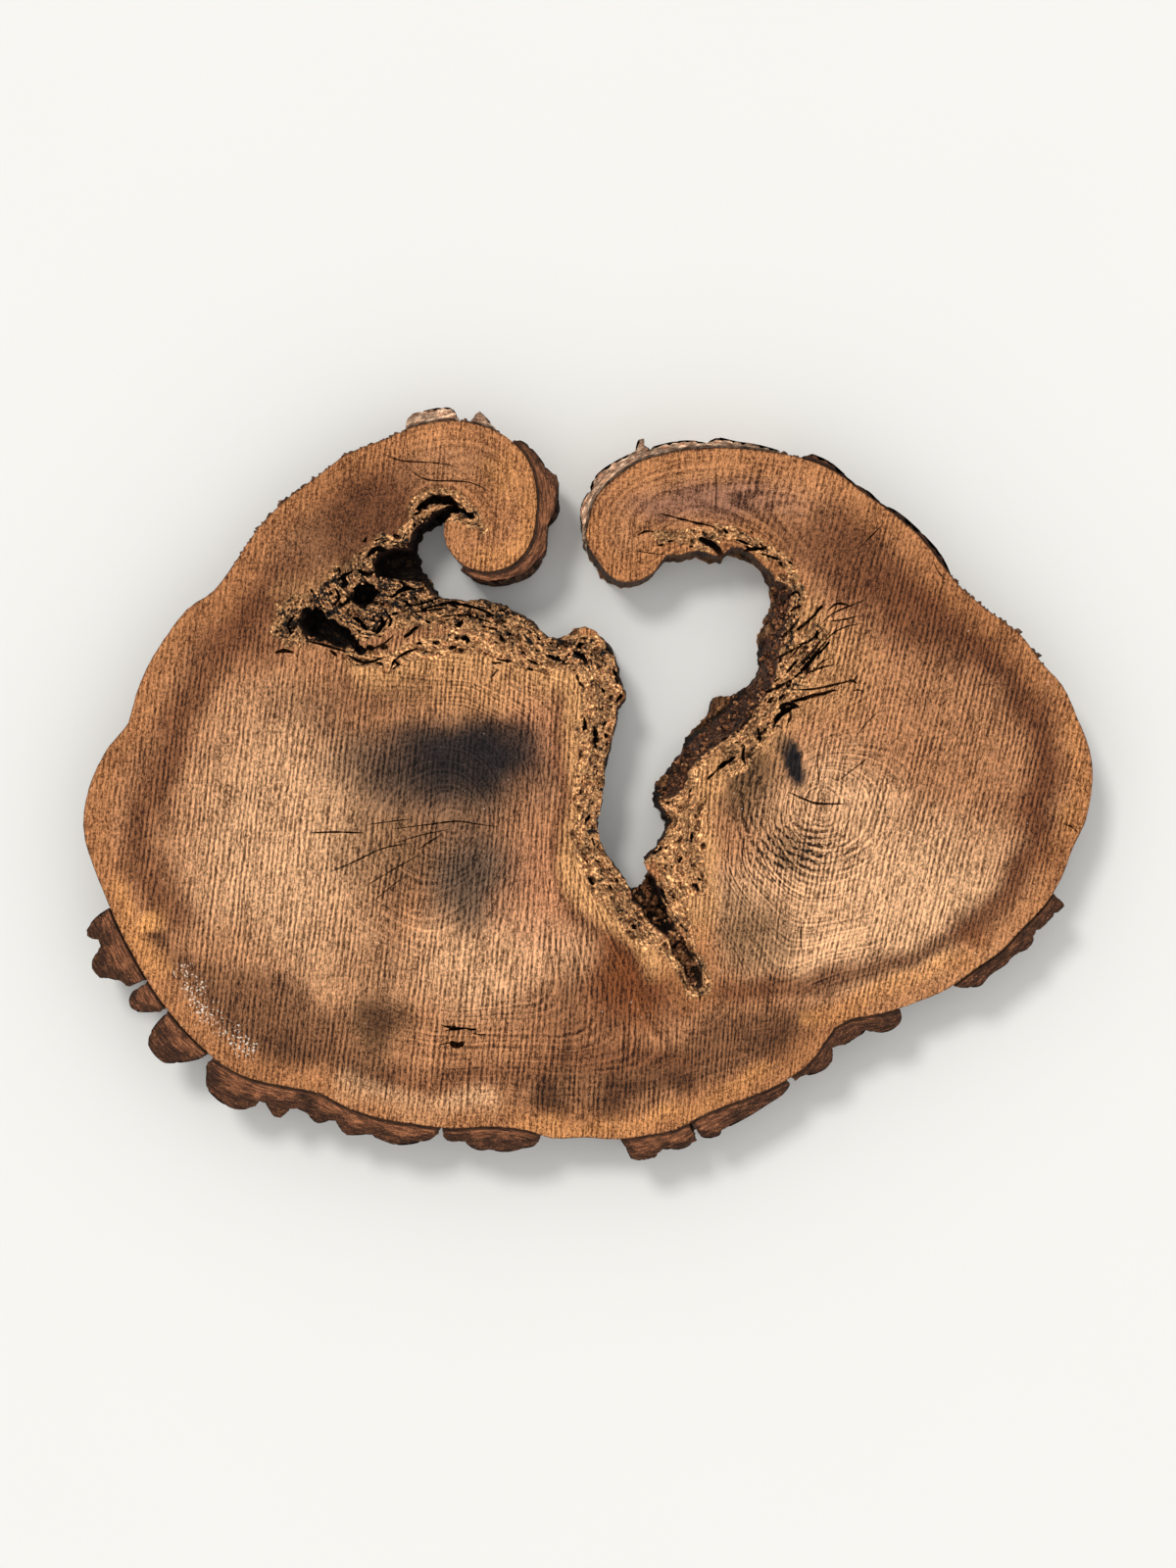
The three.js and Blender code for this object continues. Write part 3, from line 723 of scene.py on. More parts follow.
def put_grainwise(mesh, points):
    """Distance from the outline, place along it and height, all in millimetres."""
    distance, along, _ = EDGE.look(points[:, :2])
    put_attribute(mesh, "grainwise", "FLOAT_VECTOR",
                  np.stack([distance, along, points[:, 2]], axis=1) / MM)


def each_vertex(mesh, field):
    flat = np.empty(len(mesh.vertices) * 3, np.float32)
    mesh.vertices.foreach_get(field, flat)
    return flat.reshape(-1, 3)


def mesh_points(mesh):
    return each_vertex(mesh, "co").astype(float)


def uprightness(mesh, level):
    """1 where the surface is steep, and 0 where it lies flatter than a level."""
    return soft_step(0.0, 0.3, level - np.abs(each_vertex(mesh, "normal")[:, 2]))


def lower(bm, extruded, depth):
    """Moves what an extrusion has just made down."""
    made = [part for part in extruded["geom"] if isinstance(part, bmesh.types.BMVert)]
    bmesh.ops.translate(bm, vec=(0, 0, -depth), verts=made)


def grid_block(top, bottom, pitch, dense_top):
    """A block over the whole slab, gridded on its top or on its bottom."""
    bm = bmesh.new()
    wide = (WOOD_HIGH.x - WOOD_LOW.x) * GRID_MARGIN
    tall = (WOOD_HIGH.y - WOOD_LOW.y) * GRID_MARGIN
    bmesh.ops.create_grid(
        bm, x_segments=round(wide / pitch), y_segments=round(tall / pitch), size=0.5
    )
    middle = (WOOD_LOW + WOOD_HIGH) / 2
    dense, far = (top, bottom) if dense_top else (bottom, top)
    bmesh.ops.scale(bm, vec=(wide, tall, 1), verts=bm.verts)
    bmesh.ops.translate(bm, vec=(middle.x, middle.y, dense), verts=bm.verts)
    rim = [edge for edge in bm.edges if edge.is_boundary]
    lower(bm, bmesh.ops.extrude_edge_only(bm, edges=rim), dense - far)
    bmesh.ops.holes_fill(bm, edges=[edge for edge in bm.edges if edge.is_boundary])
    return bm


def front_block(pitch):
    """The block whose gridded top is the front face, sunk and pitted where it has rotted."""
    bm = grid_block(FRONT - 0.1 * MM, BACK - PAST_FACE, pitch, True)
    top = [face for face in bm.faces if face.normal.z > 0.9 and face.calc_center_median().z > 0]
    rotten = rot_with_rim(flat_places(face.calc_center_median() for face in top)) > ROTTEN_FACET
    edges = in_order(edge for face, chosen in zip(top, rotten) if chosen for edge in face.edges)
    bmesh.ops.subdivide_edges(bm, edges=list(edges), cuts=2, use_grid_fill=True)
    bm.normal_update()
    verts = [v for v in bm.verts if v.co.z > BACK]
    xy = flat_places(v.co for v in verts)
    rot = rot_with_rim(xy)
    chosen = np.nonzero(rot > ROTTEN_POINT)[0]
    distance, along, _ = EDGE.look(xy[chosen])
    for index, far, run in zip(chosen, distance, along):
        point = verts[index].co
        crumbs = noise(point / (3.2 * MM))
        layers = noise(Vector((far / (5 * MM), run / (13 * MM), 0)))
        pit = max(0, layers + 0.5 * crumbs - 0.25)
        depth = 1.0 + 1.3 * crumbs + 1.5 * layers + 9 * pit
        point.z -= rot[index] * max(0, depth) * MM
    bmesh.ops.recalc_face_normals(bm, faces=bm.faces)
    return object_from(bm, "front_block")


def back_block(pitch):
    bm = grid_block(FRONT + PAST_FACE, BACK + 0.05 * MM, pitch, False)
    bmesh.ops.recalc_face_normals(bm, faces=bm.faces)
    return object_from(bm, "back_block")


def wall_rot(xy):
    """How rotten the walls are: wholly so in the pockets, which lie in from the outline."""
    pocket = soft_step(2.0, 4.0, EDGE.look(xy)[0] / MM)
    return np.maximum(rot_with_rim(xy), pocket)


def off_the_faces(bm):
    """The faces of a slab that lie in neither sawn face."""
    return [
        face for face in bm.faces
        if not lies_at(face, FRONT) and not lies_at(face, BACK)
    ]


def refine_walls(bm, longest):
    """Cuts a slab's walls and the floors of its pockets finer, most of all where it has rotted."""
    for fine in (False, True):
        walls = off_the_faces(bm)
        rotten = wall_rot(flat_places(face.calc_center_median() for face in walls)) > ROTTEN_WALL
        edges = in_order(
            edge for face, chosen in zip(walls, rotten) if chosen == fine for edge in face.edges
        )
        wanted = [edge for edge in edges if edge.calc_length() > longest]
        bmesh.ops.subdivide_edges(bm, edges=wanted, cuts=2 if fine else 1, use_grid_fill=True)
    bm.normal_update()


def weather_walls(bm):
    """Flutes up the outer walls, and crags in the rotted walls and pockets."""
    verts = list(in_order(v for face in off_the_faces(bm) for v in face.verts))
    xy = flat_places(v.co for v in verts)
    inside = EDGE.look(xy)[0] > 3 * MM
    tree = BVHTree.FromBMesh(bm)
    moves = []
    for v, share, within in zip(verts, wall_rot(xy), inside):
        out = v.normal.copy()
        if not BACK + 0.1 * MM < v.co.z < FRONT - 0.1 * MM:
            out.z = 0
        if out.length < 0.2:
            continue
        out.normalize()
        crags = noise(v.co / (10 * MM)) + 0.7 * noise(v.co / (4.5 * MM))
        gap = tree.ray_cast(v.co + out * 0.05 * MM, out, NARROW_SLOT)[3] if within else None
        if gap is not None:
            moves.append((v, out * gap * min(0.4, max(0, 0.2 + 0.36 * crags))))
            continue
        if within:
            sunk = 4.6 * (0.15 + crags)
        else:
            place = Vector((v.co.x / (9 * MM), v.co.y / (9 * MM), v.co.z / (70 * MM)))
            sunk = 0.55 * (0.6 + noise(place)) * (1 - share) + share * 3.0 * (0.5 + crags)
            sunk = max(0, sunk)
        moves.append((v, -out * sunk * MM))
    for v, move in moves:
        v.co += move


def split_ribbon(bm, line, width, depth):
    """A blade-shaped cutter along a line in the front face."""
    points = [Vector(point) * MM for point in line]
    dense = []
    for index in range(len(points) - 1):
        before = points[max(0, index - 1)]
        after = points[min(len(points) - 1, index + 2)]
        start, end = points[index], points[index + 1]
        for step in range(SPLIT_STEPS):
            t = step / SPLIT_STEPS
            dense.append(0.5 * (
                2 * start + (end - before) * t
                + (2 * before - 5 * start + 4 * end - after) * t * t
                + (3 * start - before - 3 * end + after) * t ** 3
            ))
    dense.append(points[-1])
    left, right = [], []
    for index, point in enumerate(dense):
        run = (dense[min(index + 1, len(dense) - 1)] - dense[max(index - 1, 0)]).normalized()
        across = Vector((-run.y, run.x))
        share = index / (len(dense) - 1)
        half = 0.5 * width * MM * max(0.12, math.sin(math.pi * share) ** 0.6)
        half *= 1 + 0.8 * noise(Vector((point.x, point.y, 0)) / (2.6 * MM))
        left.append(point + across * half)
        right.append(point - across * half)
    top = FRONT + ABOVE_SPLIT * MM
    verts = [bm.verts.new((point.x, point.y, top)) for point in left + right[::-1]]
    blade = bmesh.ops.extrude_face_region(bm, geom=[bm.faces.new(verts)])
    lower(bm, blade, (depth + ABOVE_SPLIT) * MM)


def cut_splits(made):
    for line, width, depth in SPLITS:
        bm = bmesh.new()
        split_ribbon(bm, line, width, depth)
        bmesh.ops.recalc_face_normals(bm, faces=bm.faces)
        combine(made, object_from(bm, "split"), "DIFFERENCE")


def strewn(draw, start, end, reach):
    """A random place near the line between two points."""
    share = draw.random()
    return [a * (1 - share) + b * share + draw.gauss(0, reach * 0.5) for a, b in zip(start, end)]


def cut_worm_holes(made, count):
    """Small holes that lie along the layers of the rotten wood."""
    draw = random.Random(RANDOM_SEED)
    spots = []
    tries = 0
    while len(spots) < count and tries < count * 60:
        tries += 1
        line, reach, opened = draw.choice(ROT_BANDS)
        if draw.random() > opened:
            continue
        index = draw.randrange(len(line) - 1)
        x, y = strewn(draw, line[index], line[index + 1], reach)
        length = draw.choice(HOLE_LENGTHS)
        if all(math.hypot(x - a, y - b) > length + other + 1.2 for a, b, other in spots):
            spots.append((x, y, length))
    bm = bmesh.new()
    tangents = EDGE.look(np.array([(x * MM, y * MM) for x, y, _ in spots]))[2]
    for (x, y, length), tangent in zip(spots, tangents):
        narrow = length * draw.uniform(0.28, 0.5)
        angle = math.atan2(tangent[1], tangent[0]) + draw.gauss(0, 0.3)
        depth = draw.uniform(5, 14)
        place = Matrix.Translation((x * MM, y * MM, FRONT + ABOVE_HOLE * MM))
        shape = Matrix.Rotation(angle, 4, "Z") @ Matrix.Diagonal((length * MM, narrow * MM, 1, 1))
        ring = bmesh.ops.create_circle(
            bm, cap_ends=True, segments=9, radius=1, matrix=place @ shape
        )["verts"]
        for v in ring:
            v.co.xy += Vector((draw.gauss(0, 0.17), draw.gauss(0, 0.17))) * narrow * 2 * MM
        hole = bmesh.ops.extrude_face_region(bm, geom=ring[0].link_faces[:])
        lower(bm, hole, (depth + 5) * MM)
    bmesh.ops.recalc_face_normals(bm, faces=bm.faces)
    combine(made, object_from(bm, "worm_holes"), "DIFFERENCE")


def wood_attributes(mesh, rings):
    """What the wood's shader reads at each point."""
    points = mesh_points(mesh)
    xy = points[:, :2]
    live = EDGE.live_distance(xy)
    rim = EDGE.rotten_rim(xy)
    depth = (FRONT - points[:, 2]) / MM
    height = (points[:, 2] - BACK) / MM
    sap = 1 - soft_step(0.3, 1.15, live / (LIVE_EDGE_REACH * MM))
    put_floats(
        mesh,
        ring=RingField().look(xy) * rings,
        ringy=0.16 + patch_share(xy, RING_PATCHES),
        arc=np.hypot(*(xy / MM - np.array(PITHS[1])).T),
        dashed=patch_share(xy, DASH_PATCHES),
        saw=saw_count(xy),
        sawmarks=1 - np.maximum(patch_share(xy, SMOOTH_PATCHES), 0.45 * sap),
        rot=np.maximum(rot_share(xy), rim),
        open=np.maximum(rot_share(xy, openness=True), 0.5 * rim),
        crust=band_share(xy, *CRUST_BAND),
        specks=band_share(xy, *WHITE_SPECKS),
        wall=uprightness(mesh, 0.75) * (soft_step(0.3, 2.0, depth) * soft_step(0.2, 1.0, height)),
        sunk=soft_step(2.0, 9.0, depth) * (points[:, 2] > BACK + 2 * MM),
    )
    put_grainwise(mesh, points)
    colour = tone_at(xy, live)
    put_attribute(mesh, "tone", "FLOAT_COLOR", np.pad(colour, ((0, 0), (0, 1)), constant_values=1))


class Channel:
    """An output of a shader's node: arithmetic on it adds math nodes."""

    def __init__(self, shader, socket):
        self.shader = shader
        self.socket = socket

    def __add__(self, other):
        return self.shader.math("ADD", self, other)

    def __radd__(self, other):
        return self.shader.math("ADD", other, self)

    def __sub__(self, other):
        return self.shader.math("SUBTRACT", self, other)

    def __rsub__(self, other):
        return self.shader.math("SUBTRACT", other, self)

    def __mul__(self, other):
        return self.shader.math("MULTIPLY", self, other)

    def swing(self, strength):
        """The same noise, as much below nothing as above it."""
        return (self - 0.5) * strength

    def also(self, output):
        """Another output of the same node."""
        return Channel(self.shader, self.socket.node.outputs[output])


class Shader:
    """Short ways to add nodes to one material."""

    def __init__(self, name):
        self.material = bpy.data.materials.new(name)
        self.material.use_nodes = True
        self.tree = self.material.node_tree
        self.surface = self.tree.nodes["Principled BSDF"]
        self.surface.inputs["Specular IOR Level"].default_value = 0.2
        self.place = self.node("ShaderNodeTexCoord", output="Object")

    def node(self, kind, values=(), output=0, **settings):
        made = self.tree.nodes.new(kind)
        for name, value in settings.items():
            setattr(made, name, value)
        for name, value in dict(values).items():
            self.feed(made.inputs[name], value)
        return Channel(self, made.outputs[output])

    def feed(self, socket, value):
        if isinstance(value, Channel):
            self.tree.links.new(value.socket, socket)
        else:
            socket.default_value = value

    def attribute(self, name, output="Fac"):
        return self.node("ShaderNodeAttribute", output=output, attribute_name=name)

    def math(self, operation, one, two=0.0):
        return self.node("ShaderNodeMath", {0: one, 1: two}, operation=operation)

    def noise(self, vector, scale, detail=3.0, roughness=0.55):
        return self.node(
            "ShaderNodeTexNoise",
            {"Vector": vector, "Scale": scale, "Detail": detail, "Roughness": roughness},
        )

    def combine(self, x, y, z):
        return self.node("ShaderNodeCombineXYZ", {"X": x, "Y": y, "Z": z})

    def split(self, vector, kind="ShaderNodeSeparateXYZ"):
        first = self.node(kind, {0: vector})
        return first, first.also(1), first.also(2)

    def stretch(self, vector, scale):
        return self.node("ShaderNodeMapping", {"Vector": vector, "Scale": scale})

    def shaken(self, vector, scale, reach):
        """A vector pushed about by noise over the object."""
        push = self.node("ShaderNodeTexNoise", {"Vector": self.place, "Scale": scale}, "Color")
        return self.node(
            "ShaderNodeVectorMath", {0: vector, 1: self.shade(push, reach)}, operation="ADD"
        )

    def grains(self, vector, scale=1.0):
        """Grains of random shape: how far from each one's middle, and its random tones."""
        far = self.node("ShaderNodeTexVoronoi", {"Vector": vector, "Scale": scale}, "Distance")
        return far, self.split(far.also("Color"), "ShaderNodeSeparateColor")

    def ramp(self, value, low, high, start=0.0, end=1.0):
        return self.node(
            "ShaderNodeMapRange",
            {"Value": value, "From Min": low, "From Max": high, "To Min": start, "To Max": end},
            interpolation_type="SMOOTHSTEP",
        )

    def mix(self, share, one, two):
        """A colour between two, which are channels or red, green and blue from 0 to 255."""
        one, two = (
            colour if isinstance(colour, Channel) else (*linear(colour), 1.0)
            for colour in (one, two)
        )
        return self.node("ShaderNodeMix", {0: share, 6: one, 7: two}, 2, data_type="RGBA")

    def shade(self, colour, value):
        """Multiplies a colour by a grey value."""
        return self.node("ShaderNodeVectorMath", {0: colour, "Scale": value}, operation="SCALE")

    def shade_by(self, colour, *ramps):
        """Shades a colour by several ramps: each one's value, low, high, start and end."""
        for ramp in ramps:
            colour = self.shade(colour, self.ramp(*ramp))
        return colour

    def finish(self, colour, roughness, height, depth, strength=0.8):
        bump = {"Height": height, "Distance": depth, "Strength": strength}
        self.feed(self.surface.inputs["Base Color"], colour)
        self.feed(self.surface.inputs["Roughness"], roughness)
        self.feed(self.surface.inputs["Normal"], self.node("ShaderNodeBump", bump))
        return self.material


class WoodShader(Shader):
    """The wood: its sawn faces, its rotten heart, the crust on the slope and its flanks."""

    FIELDS = (
        "ring", "saw", "rot", "crust", "wall", "sunk", "ringy", "sawmarks", "open", "specks",
        "arc", "dashed",
    )

    def __init__(self, saw_pitch):
        super().__init__("sawn_walnut")
        self.saw_pitch = saw_pitch
        self.field = {name: self.attribute(name) for name in self.FIELDS}
        self.layers = self.attribute("grainwise", "Vector")
        self.x, self.y, _ = self.split(self.place)
        self.up = self.y * 1000.0
        self.blotch = self.noise(self.place, 42.0, 4.0, 0.6)
        self.fleck = self.noise(self.place, 330.0, 3.0, 0.65)
        self.crumb = self.noise(self.place, 330.0, 4.0, 0.7)

    def streaks(self, across, run, seed):
        """Noise drawn out along the saw marks: its grain across them and along them."""
        drawn = self.combine(self.field["saw"] * (1 / across), self.up * (1 / run), seed)
        return self.noise(drawn, 1.0, 2.0, 0.6)

    def saw_marks(self):
        jag = self.noise(self.place, 260.0, 2.0).swing(1.8)
        phase = self.field["saw"] + self.streaks(26.0, 90.0, 3.0).swing(9.0) + jag
        tooth = self.math("SINE", phase * (2 * math.pi / self.saw_pitch))
        share = self.ramp(self.streaks(14.0, 60.0, 9.0), 0.36, 0.62, 0.2) * self.field["sawmarks"]
        return tooth * (share * 0.6)

    def ring_lines(self):
        bent = self.field["ring"] + self.noise(self.place, 30.0).swing(1.0)
        along = self.combine(bent * 1.9, self.x * 9.0, self.y * 9.0)
        grain = self.noise(along, 1.0, 3.0, 0.75).swing(1.7)
        wave = self.math("SINE", bent * (2 * math.pi)) * 0.14
        thin = self.math("MAXIMUM", self.math("SINE", bent * (1.2 * math.pi)), 0.0)
        return (wave + grain + self.math("POWER", thin, 7.0) * 0.34) * self.field["ringy"]

    def ring_dashes(self):
        """Broken, dark rings round the right pith."""
        bent = self.field["arc"] + self.noise(self.place, 36.0).swing(14.0)
        wave = self.math("SINE", bent * (2 * math.pi / DASH_PITCH)) * 0.5
        grain = self.noise(self.place, 210.0, 3.0, 0.7).swing(3.6)
        dashes = self.ramp(wave + self.blotch.swing(1.6) + grain, 0.1, 0.5, 0.0, -1.4)
        return dashes * self.field["dashed"]

    def relief(self):
        """Where the sawn face is light or dark: marks, rings, hairs and flecks added up."""
        hairs = self.streaks(1.3, 8.0, 1.0).swing(3.3) + self.streaks(3.4, 48.0, 2.0).swing(1.7)
        parts = (
            self.ring_lines(),
            self.ring_dashes(),
            hairs * self.ramp(self.field["sawmarks"], 0.1, 0.9, 0.5),
            self.streaks(32.0, 900.0, 4.0).swing(0.5),
            self.noise(self.place, 11.0).swing(0.5),
            self.blotch.swing(0.9),
            self.fleck.swing(2.6),
            self.noise(self.place, 900.0, 2.0, 0.6).swing(2.8),
        )
        return sum(parts, self.saw_marks())

    def sawn(self, relief):
        light = 1.0 + self.math("MAXIMUM", relief, 0.0) * 0.95
        below = self.math("MINIMUM", relief, 0.0)
        colour = self.node(
            "ShaderNodeGamma",
            {"Color": self.attribute("tone", "Color"), "Gamma": 1.0 - below * 0.45},
        )
        colour = self.shade(colour, light * self.math("POWER", 4.6, below) * 1.12)
        speck = self.noise(self.place, 380.0, 2.0) + self.field["specks"].swing(0.16)
        speck = speck + self.blotch.swing(0.35)
        return self.mix(self.ramp(speck, 0.68, 0.71), colour, CHALKY)

    def rotten(self, shaded_lumps):
        """The crumbled wood with painted shade between its lumps, and black painted shade standing
        in for its holes.
        """
        lamella = self.noise(self.stretch(self.layers, (0.36, 0.075, 0.12)), 1.0, 4.0, 0.7)
        openness = self.field["open"]
        colour = self.mix(self.ramp(self.crumb, 0.38, 0.62), (130, 80, 46), (242, 182, 124))
        colour = self.shade_by(
            self.shade(colour, shaded_lumps),
            (lamella, 0.34, 0.6, 0.6, 1.15),
            (self.blotch, 0.3, 0.62, 0.6, 1.2),
            (openness, 0.1, 0.9, 1.42, 0.92),
        )
        layered = lamella * 0.6 + self.crumb * 0.4 - openness * 0.07
        hollowed = self.cavity_shade - openness * 0.075
        # Painted shade standing in for holes: near black where the layered noise or the cavity
        # noise is low.
        hole_shade = self.math(
            "MAXIMUM",
            self.ramp(layered, 0.375, 0.395, 1.0, 0.0),
            self.ramp(hollowed, 0.345, 0.36, 1.0, 0.0),
        )
        return self.mix(hole_shade, colour, (8, 5, 4)), hole_shade

    def crusted(self, shaded_lumps, shaded_chunks):
        # The crust: painted shade between its lumps and chunks, and where the cavity noise is low.
        colour = self.mix(self.ramp(self.crumb, 0.4, 0.6), (48, 27, 20), (206, 142, 106))
        return self.shade(colour, shaded_lumps * shaded_chunks * self.ramp(self.cavity_shade, 0.36, 0.6, 0.3, 1.4))

    def flank(self, fibre, shaded_lumps):
        sound = self.mix(self.ramp(fibre, 0.36, 0.64), (58, 36, 23), (176, 122, 76))
        sound = self.shade_by(sound, (self.blotch, 0.3, 0.7, 0.7, 1.2))
        crumbled = self.mix(self.ramp(self.crumb, 0.4, 0.62), (22, 12, 9), (134, 86, 58))
        # Painted shade between the lumps of the crumbled walls.
        crumbled = self.shade(crumbled, shaded_lumps)
        return self.mix(self.ramp(self.field["rot"], 0.15, 0.5), sound, crumbled)

    def build(self):
        rot, wall, sunk = (self.field[name] for name in ("rot", "wall", "sunk"))
        # Noise whose low places are painted shade: the holes in the rot and the dark hollows in the
        # crust.
        self.cavity_shade = self.noise(self.place, 95.0, 5.0, 0.75)
        fibre = self.noise(self.stretch(self.place, (170.0, 170.0, 16.0)), 1.0, 5.0, 0.7)
        drawn = self.stretch(self.layers, (0.56, 0.3, 0.3))
        far, tones = self.grains(self.shaken(drawn, 190.0, 2.6))
        # Lumps of crumbled wood, each with a random tone, and painted shade in the gaps between
        # them.
        shaded_lumps = self.ramp(far, 0.14, 0.66, 1.4, 0.45) * self.ramp(tones[0], 0.0, 1.0, 0.6, 1.4)
        far, tones = self.grains(self.shaken(self.place, 90.0, 0.008), 120.0)
        # Chunks of crust, each with a random tone: painted shade, near black in the gaps and light
        # in their middles.
        shaded_chunks = self.ramp(far, 0.2, 0.62, 1.5, 0.06) * self.ramp(tones[1], 0.1, 0.9, 0.4, 1.5)

        relief = self.relief()
        rotten, hole_shade = self.rotten(shaded_lumps)
        rot_edge = self.ramp(rot + self.blotch.swing(1.0), 0.05, 0.85)
        rot_edge = self.ramp(rot_edge + self.crumb.swing(1.8), 0.3, 0.7)
        colour = self.mix(rot_edge, self.sawn(relief), rotten)
        crust_share = self.ramp(self.field["crust"] * self.ramp(sunk, 0.0, 0.3), 0.1, 0.5)
        colour = self.mix(crust_share, colour, self.crusted(shaded_lumps, shaded_chunks))
        colour = self.mix(wall, colour, self.flank(fibre, shaded_lumps))
        # Painted shade: rotten wood sunk below the face is darkened almost to black.
        sunk_shade = sunk * self.ramp(rot, 0.05, 0.3, 0.6, 0.94) * (1.0 - crust_share)
        colour = self.mix(sunk_shade, colour, (10, 6, 4))
        rim = self.split(self.layers)[0] + self.fleck.swing(3.0)
        colour = self.mix(self.ramp(rim, 0.3, 2.2, 0.75, 0.0), colour, (66, 38, 24))

        height = (
            relief * (1.0 - rot_edge)
            + self.crumb * rot_edge * 3.0
            + fibre * wall * 2.0
            - hole_shade * rot_edge * 3.0
            + shaded_chunks * crust_share * 3.0
        )
        return self.finish(colour, self.ramp(self.fleck, 0.3, 0.7, 0.6, 0.85), height, 0.8 * MM)


def bark_material(name, dark, light, outer_dark, outer_light, crack_and_rim_darkness, flaky):
    """Bark: its sawn edge, its outer face, how dark its cracks and rim line are and how flaky it
    is.
    """
    s = Shader(name)
    layers = s.attribute("grainwise", "Vector")
    wall = s.attribute("wall")
    streak = s.noise(s.stretch(layers, (0.75, 0.075, 0.05)), 1.0, 5.0, 0.7)
    blotch = s.noise(s.place, 60.0, 4.0, 0.6)
    fleck = s.noise(s.place, 700.0, 3.0, 0.7)
    fibre = s.noise(s.stretch(s.place, (220.0, 220.0, 40.0)), 1.0, 5.0, 0.7)
    cracks = s.noise(s.stretch(layers, (0.5, 0.16, 0.1)), 1.0, 4.0, 0.75)
    cut = s.shade_by(
        s.mix(s.ramp(streak, 0.36, 0.64), dark, light),
        (blotch, 0.3, 0.7, 0.72, 1.25),
        (fleck, 0.35, 0.66, 0.55, 1.35),
    )
    rim = s.attribute("rim") + fleck.swing(5.0)
    cut = s.mix(s.ramp(s.split(layers)[0], 1.4, 4.0, 0.85, 0.0), cut, (20, 13, 10))
    cut = s.mix(s.ramp(rim, 0.4, 2.6, crack_and_rim_darkness, 0.0), cut, (24, 16, 13))
    cut = s.mix(s.ramp(cracks, 0.34, 0.38, crack_and_rim_darkness, 0.0), cut, (20, 13, 10))
    outer = s.mix(s.ramp(fibre, 0.36, 0.66), outer_dark, outer_light)
    outer = s.shade_by(outer, (blotch, 0.3, 0.7, 0.75, 1.2))
    # Painted shade in the furrows, which are also sunk into the mesh.
    outer = s.mix(s.attribute("furrow"), outer, (30, 20, 15))
    far, tones = s.grains(s.stretch(layers, (0.42, 0.14, 0.07)))
    # Flakes, each with a random tone, and painted shade at their edges.
    shaded_flakes = s.ramp(far, 0.3, 0.7, 1.2, 0.4) * s.ramp(tones[0], 0.0, 1.0, 0.6, 1.45)
    colour = s.shade(s.mix(wall, cut, outer), (1.0 - flaky) + shaded_flakes * flaky)
    height = streak * 0.9 + fleck * 0.4 + fibre * wall * 1.6
    return s.finish(colour, s.ramp(fleck, 0.3, 0.7, 0.75, 0.95), height, 1.6 * MM)


def rot_crumb_material():
    s = Shader("rot_crumbs")
    fleck = s.noise(s.place, 420.0, 4.0, 0.7)
    light = s.attribute("light") + fleck.swing(1.3)
    colour = s.mix(s.ramp(light, 0.0, 0.55), (34, 20, 15), (140, 88, 56))
    colour = s.mix(s.ramp(light, 0.5, 1.0), colour, (238, 180, 126))
    return s.finish(colour, 0.85, fleck, 0.8 * MM)


def dress_bark(node, material, roughness):
    """A finer copy of a piece of bark, with ridges and flakes on its outside."""
    bm = merged_copy(node)
    for longest in BARK_EDGES:
        edges = [edge for edge in bm.edges if edge.calc_length() > longest * MM]
        bmesh.ops.subdivide_edges(bm, edges=edges, cuts=1, use_grid_fill=True)
    bmesh.ops.triangulate(bm, faces=[face for face in bm.faces if len(face.verts) > 4])
    bm.normal_update()
    furrows = [0.0] * len(bm.verts)
    moves = []
    outer = []
    low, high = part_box(node)
    distance = EDGE.look(flat_places(v.co for v in bm.verts))[0]
    for index, (v, far) in enumerate(zip(bm.verts, distance)):
        out = Vector((v.normal.x, v.normal.y, 0))
        on_wall = any(abs(face.normal.z) < 0.6 for face in v.link_faces)
        if not on_wall or out.length < 0.25:
            continue
        out.normalize()
        point = v.co
        outside = soft_step(1.6, 3.4, far / MM)
        if outside > 0.5:
            outer.append(point.copy())
        groove = abs(noise(Vector((point.x / (10 * MM), point.y / (10 * MM), point.z / (34 * MM)))))
        groove = max(0.0, 1 - groove / 0.16)
        chips = noise(point / (5 * MM)) + 0.5 * noise(point / (2.4 * MM))
        edge_share = min(1.0, min(high.z - point.z, point.z - low.z) / (6 * MM))
        sunk = outside * ((0.35 + 0.65 * edge_share) * 2.2 * groove + roughness * (0.6 + chips))
        moves.append((v, -out * max(0.0, sunk) * MM))
        furrows[index] = float(outside * groove)
    for v, move in moves:
        v.co += move
    made = object_from(bm, node.replace("bark", "dressed_bark"))
    mesh = made.data
    points = mesh_points(mesh)
    put_floats(
        mesh,
        rim=nearest(flat_tree(outer), points[:, :2])[1] / MM,
        wall=uprightness(mesh, 0.8),
        furrow=furrows,
    )
    put_grainwise(mesh, points)
    mesh.materials.append(material)
    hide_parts(node)
    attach(made, "root")


def add_lump(bm, place, size, grain, roughness):
    """A small lump whose surface has crumbled."""
    verts = bmesh.ops.create_icosphere(bm, subdivisions=1, radius=1, matrix=place)["verts"]
    for v in verts:
        v.co += noise_vector(v.co / (grain * MM)) * size * roughness
    return verts


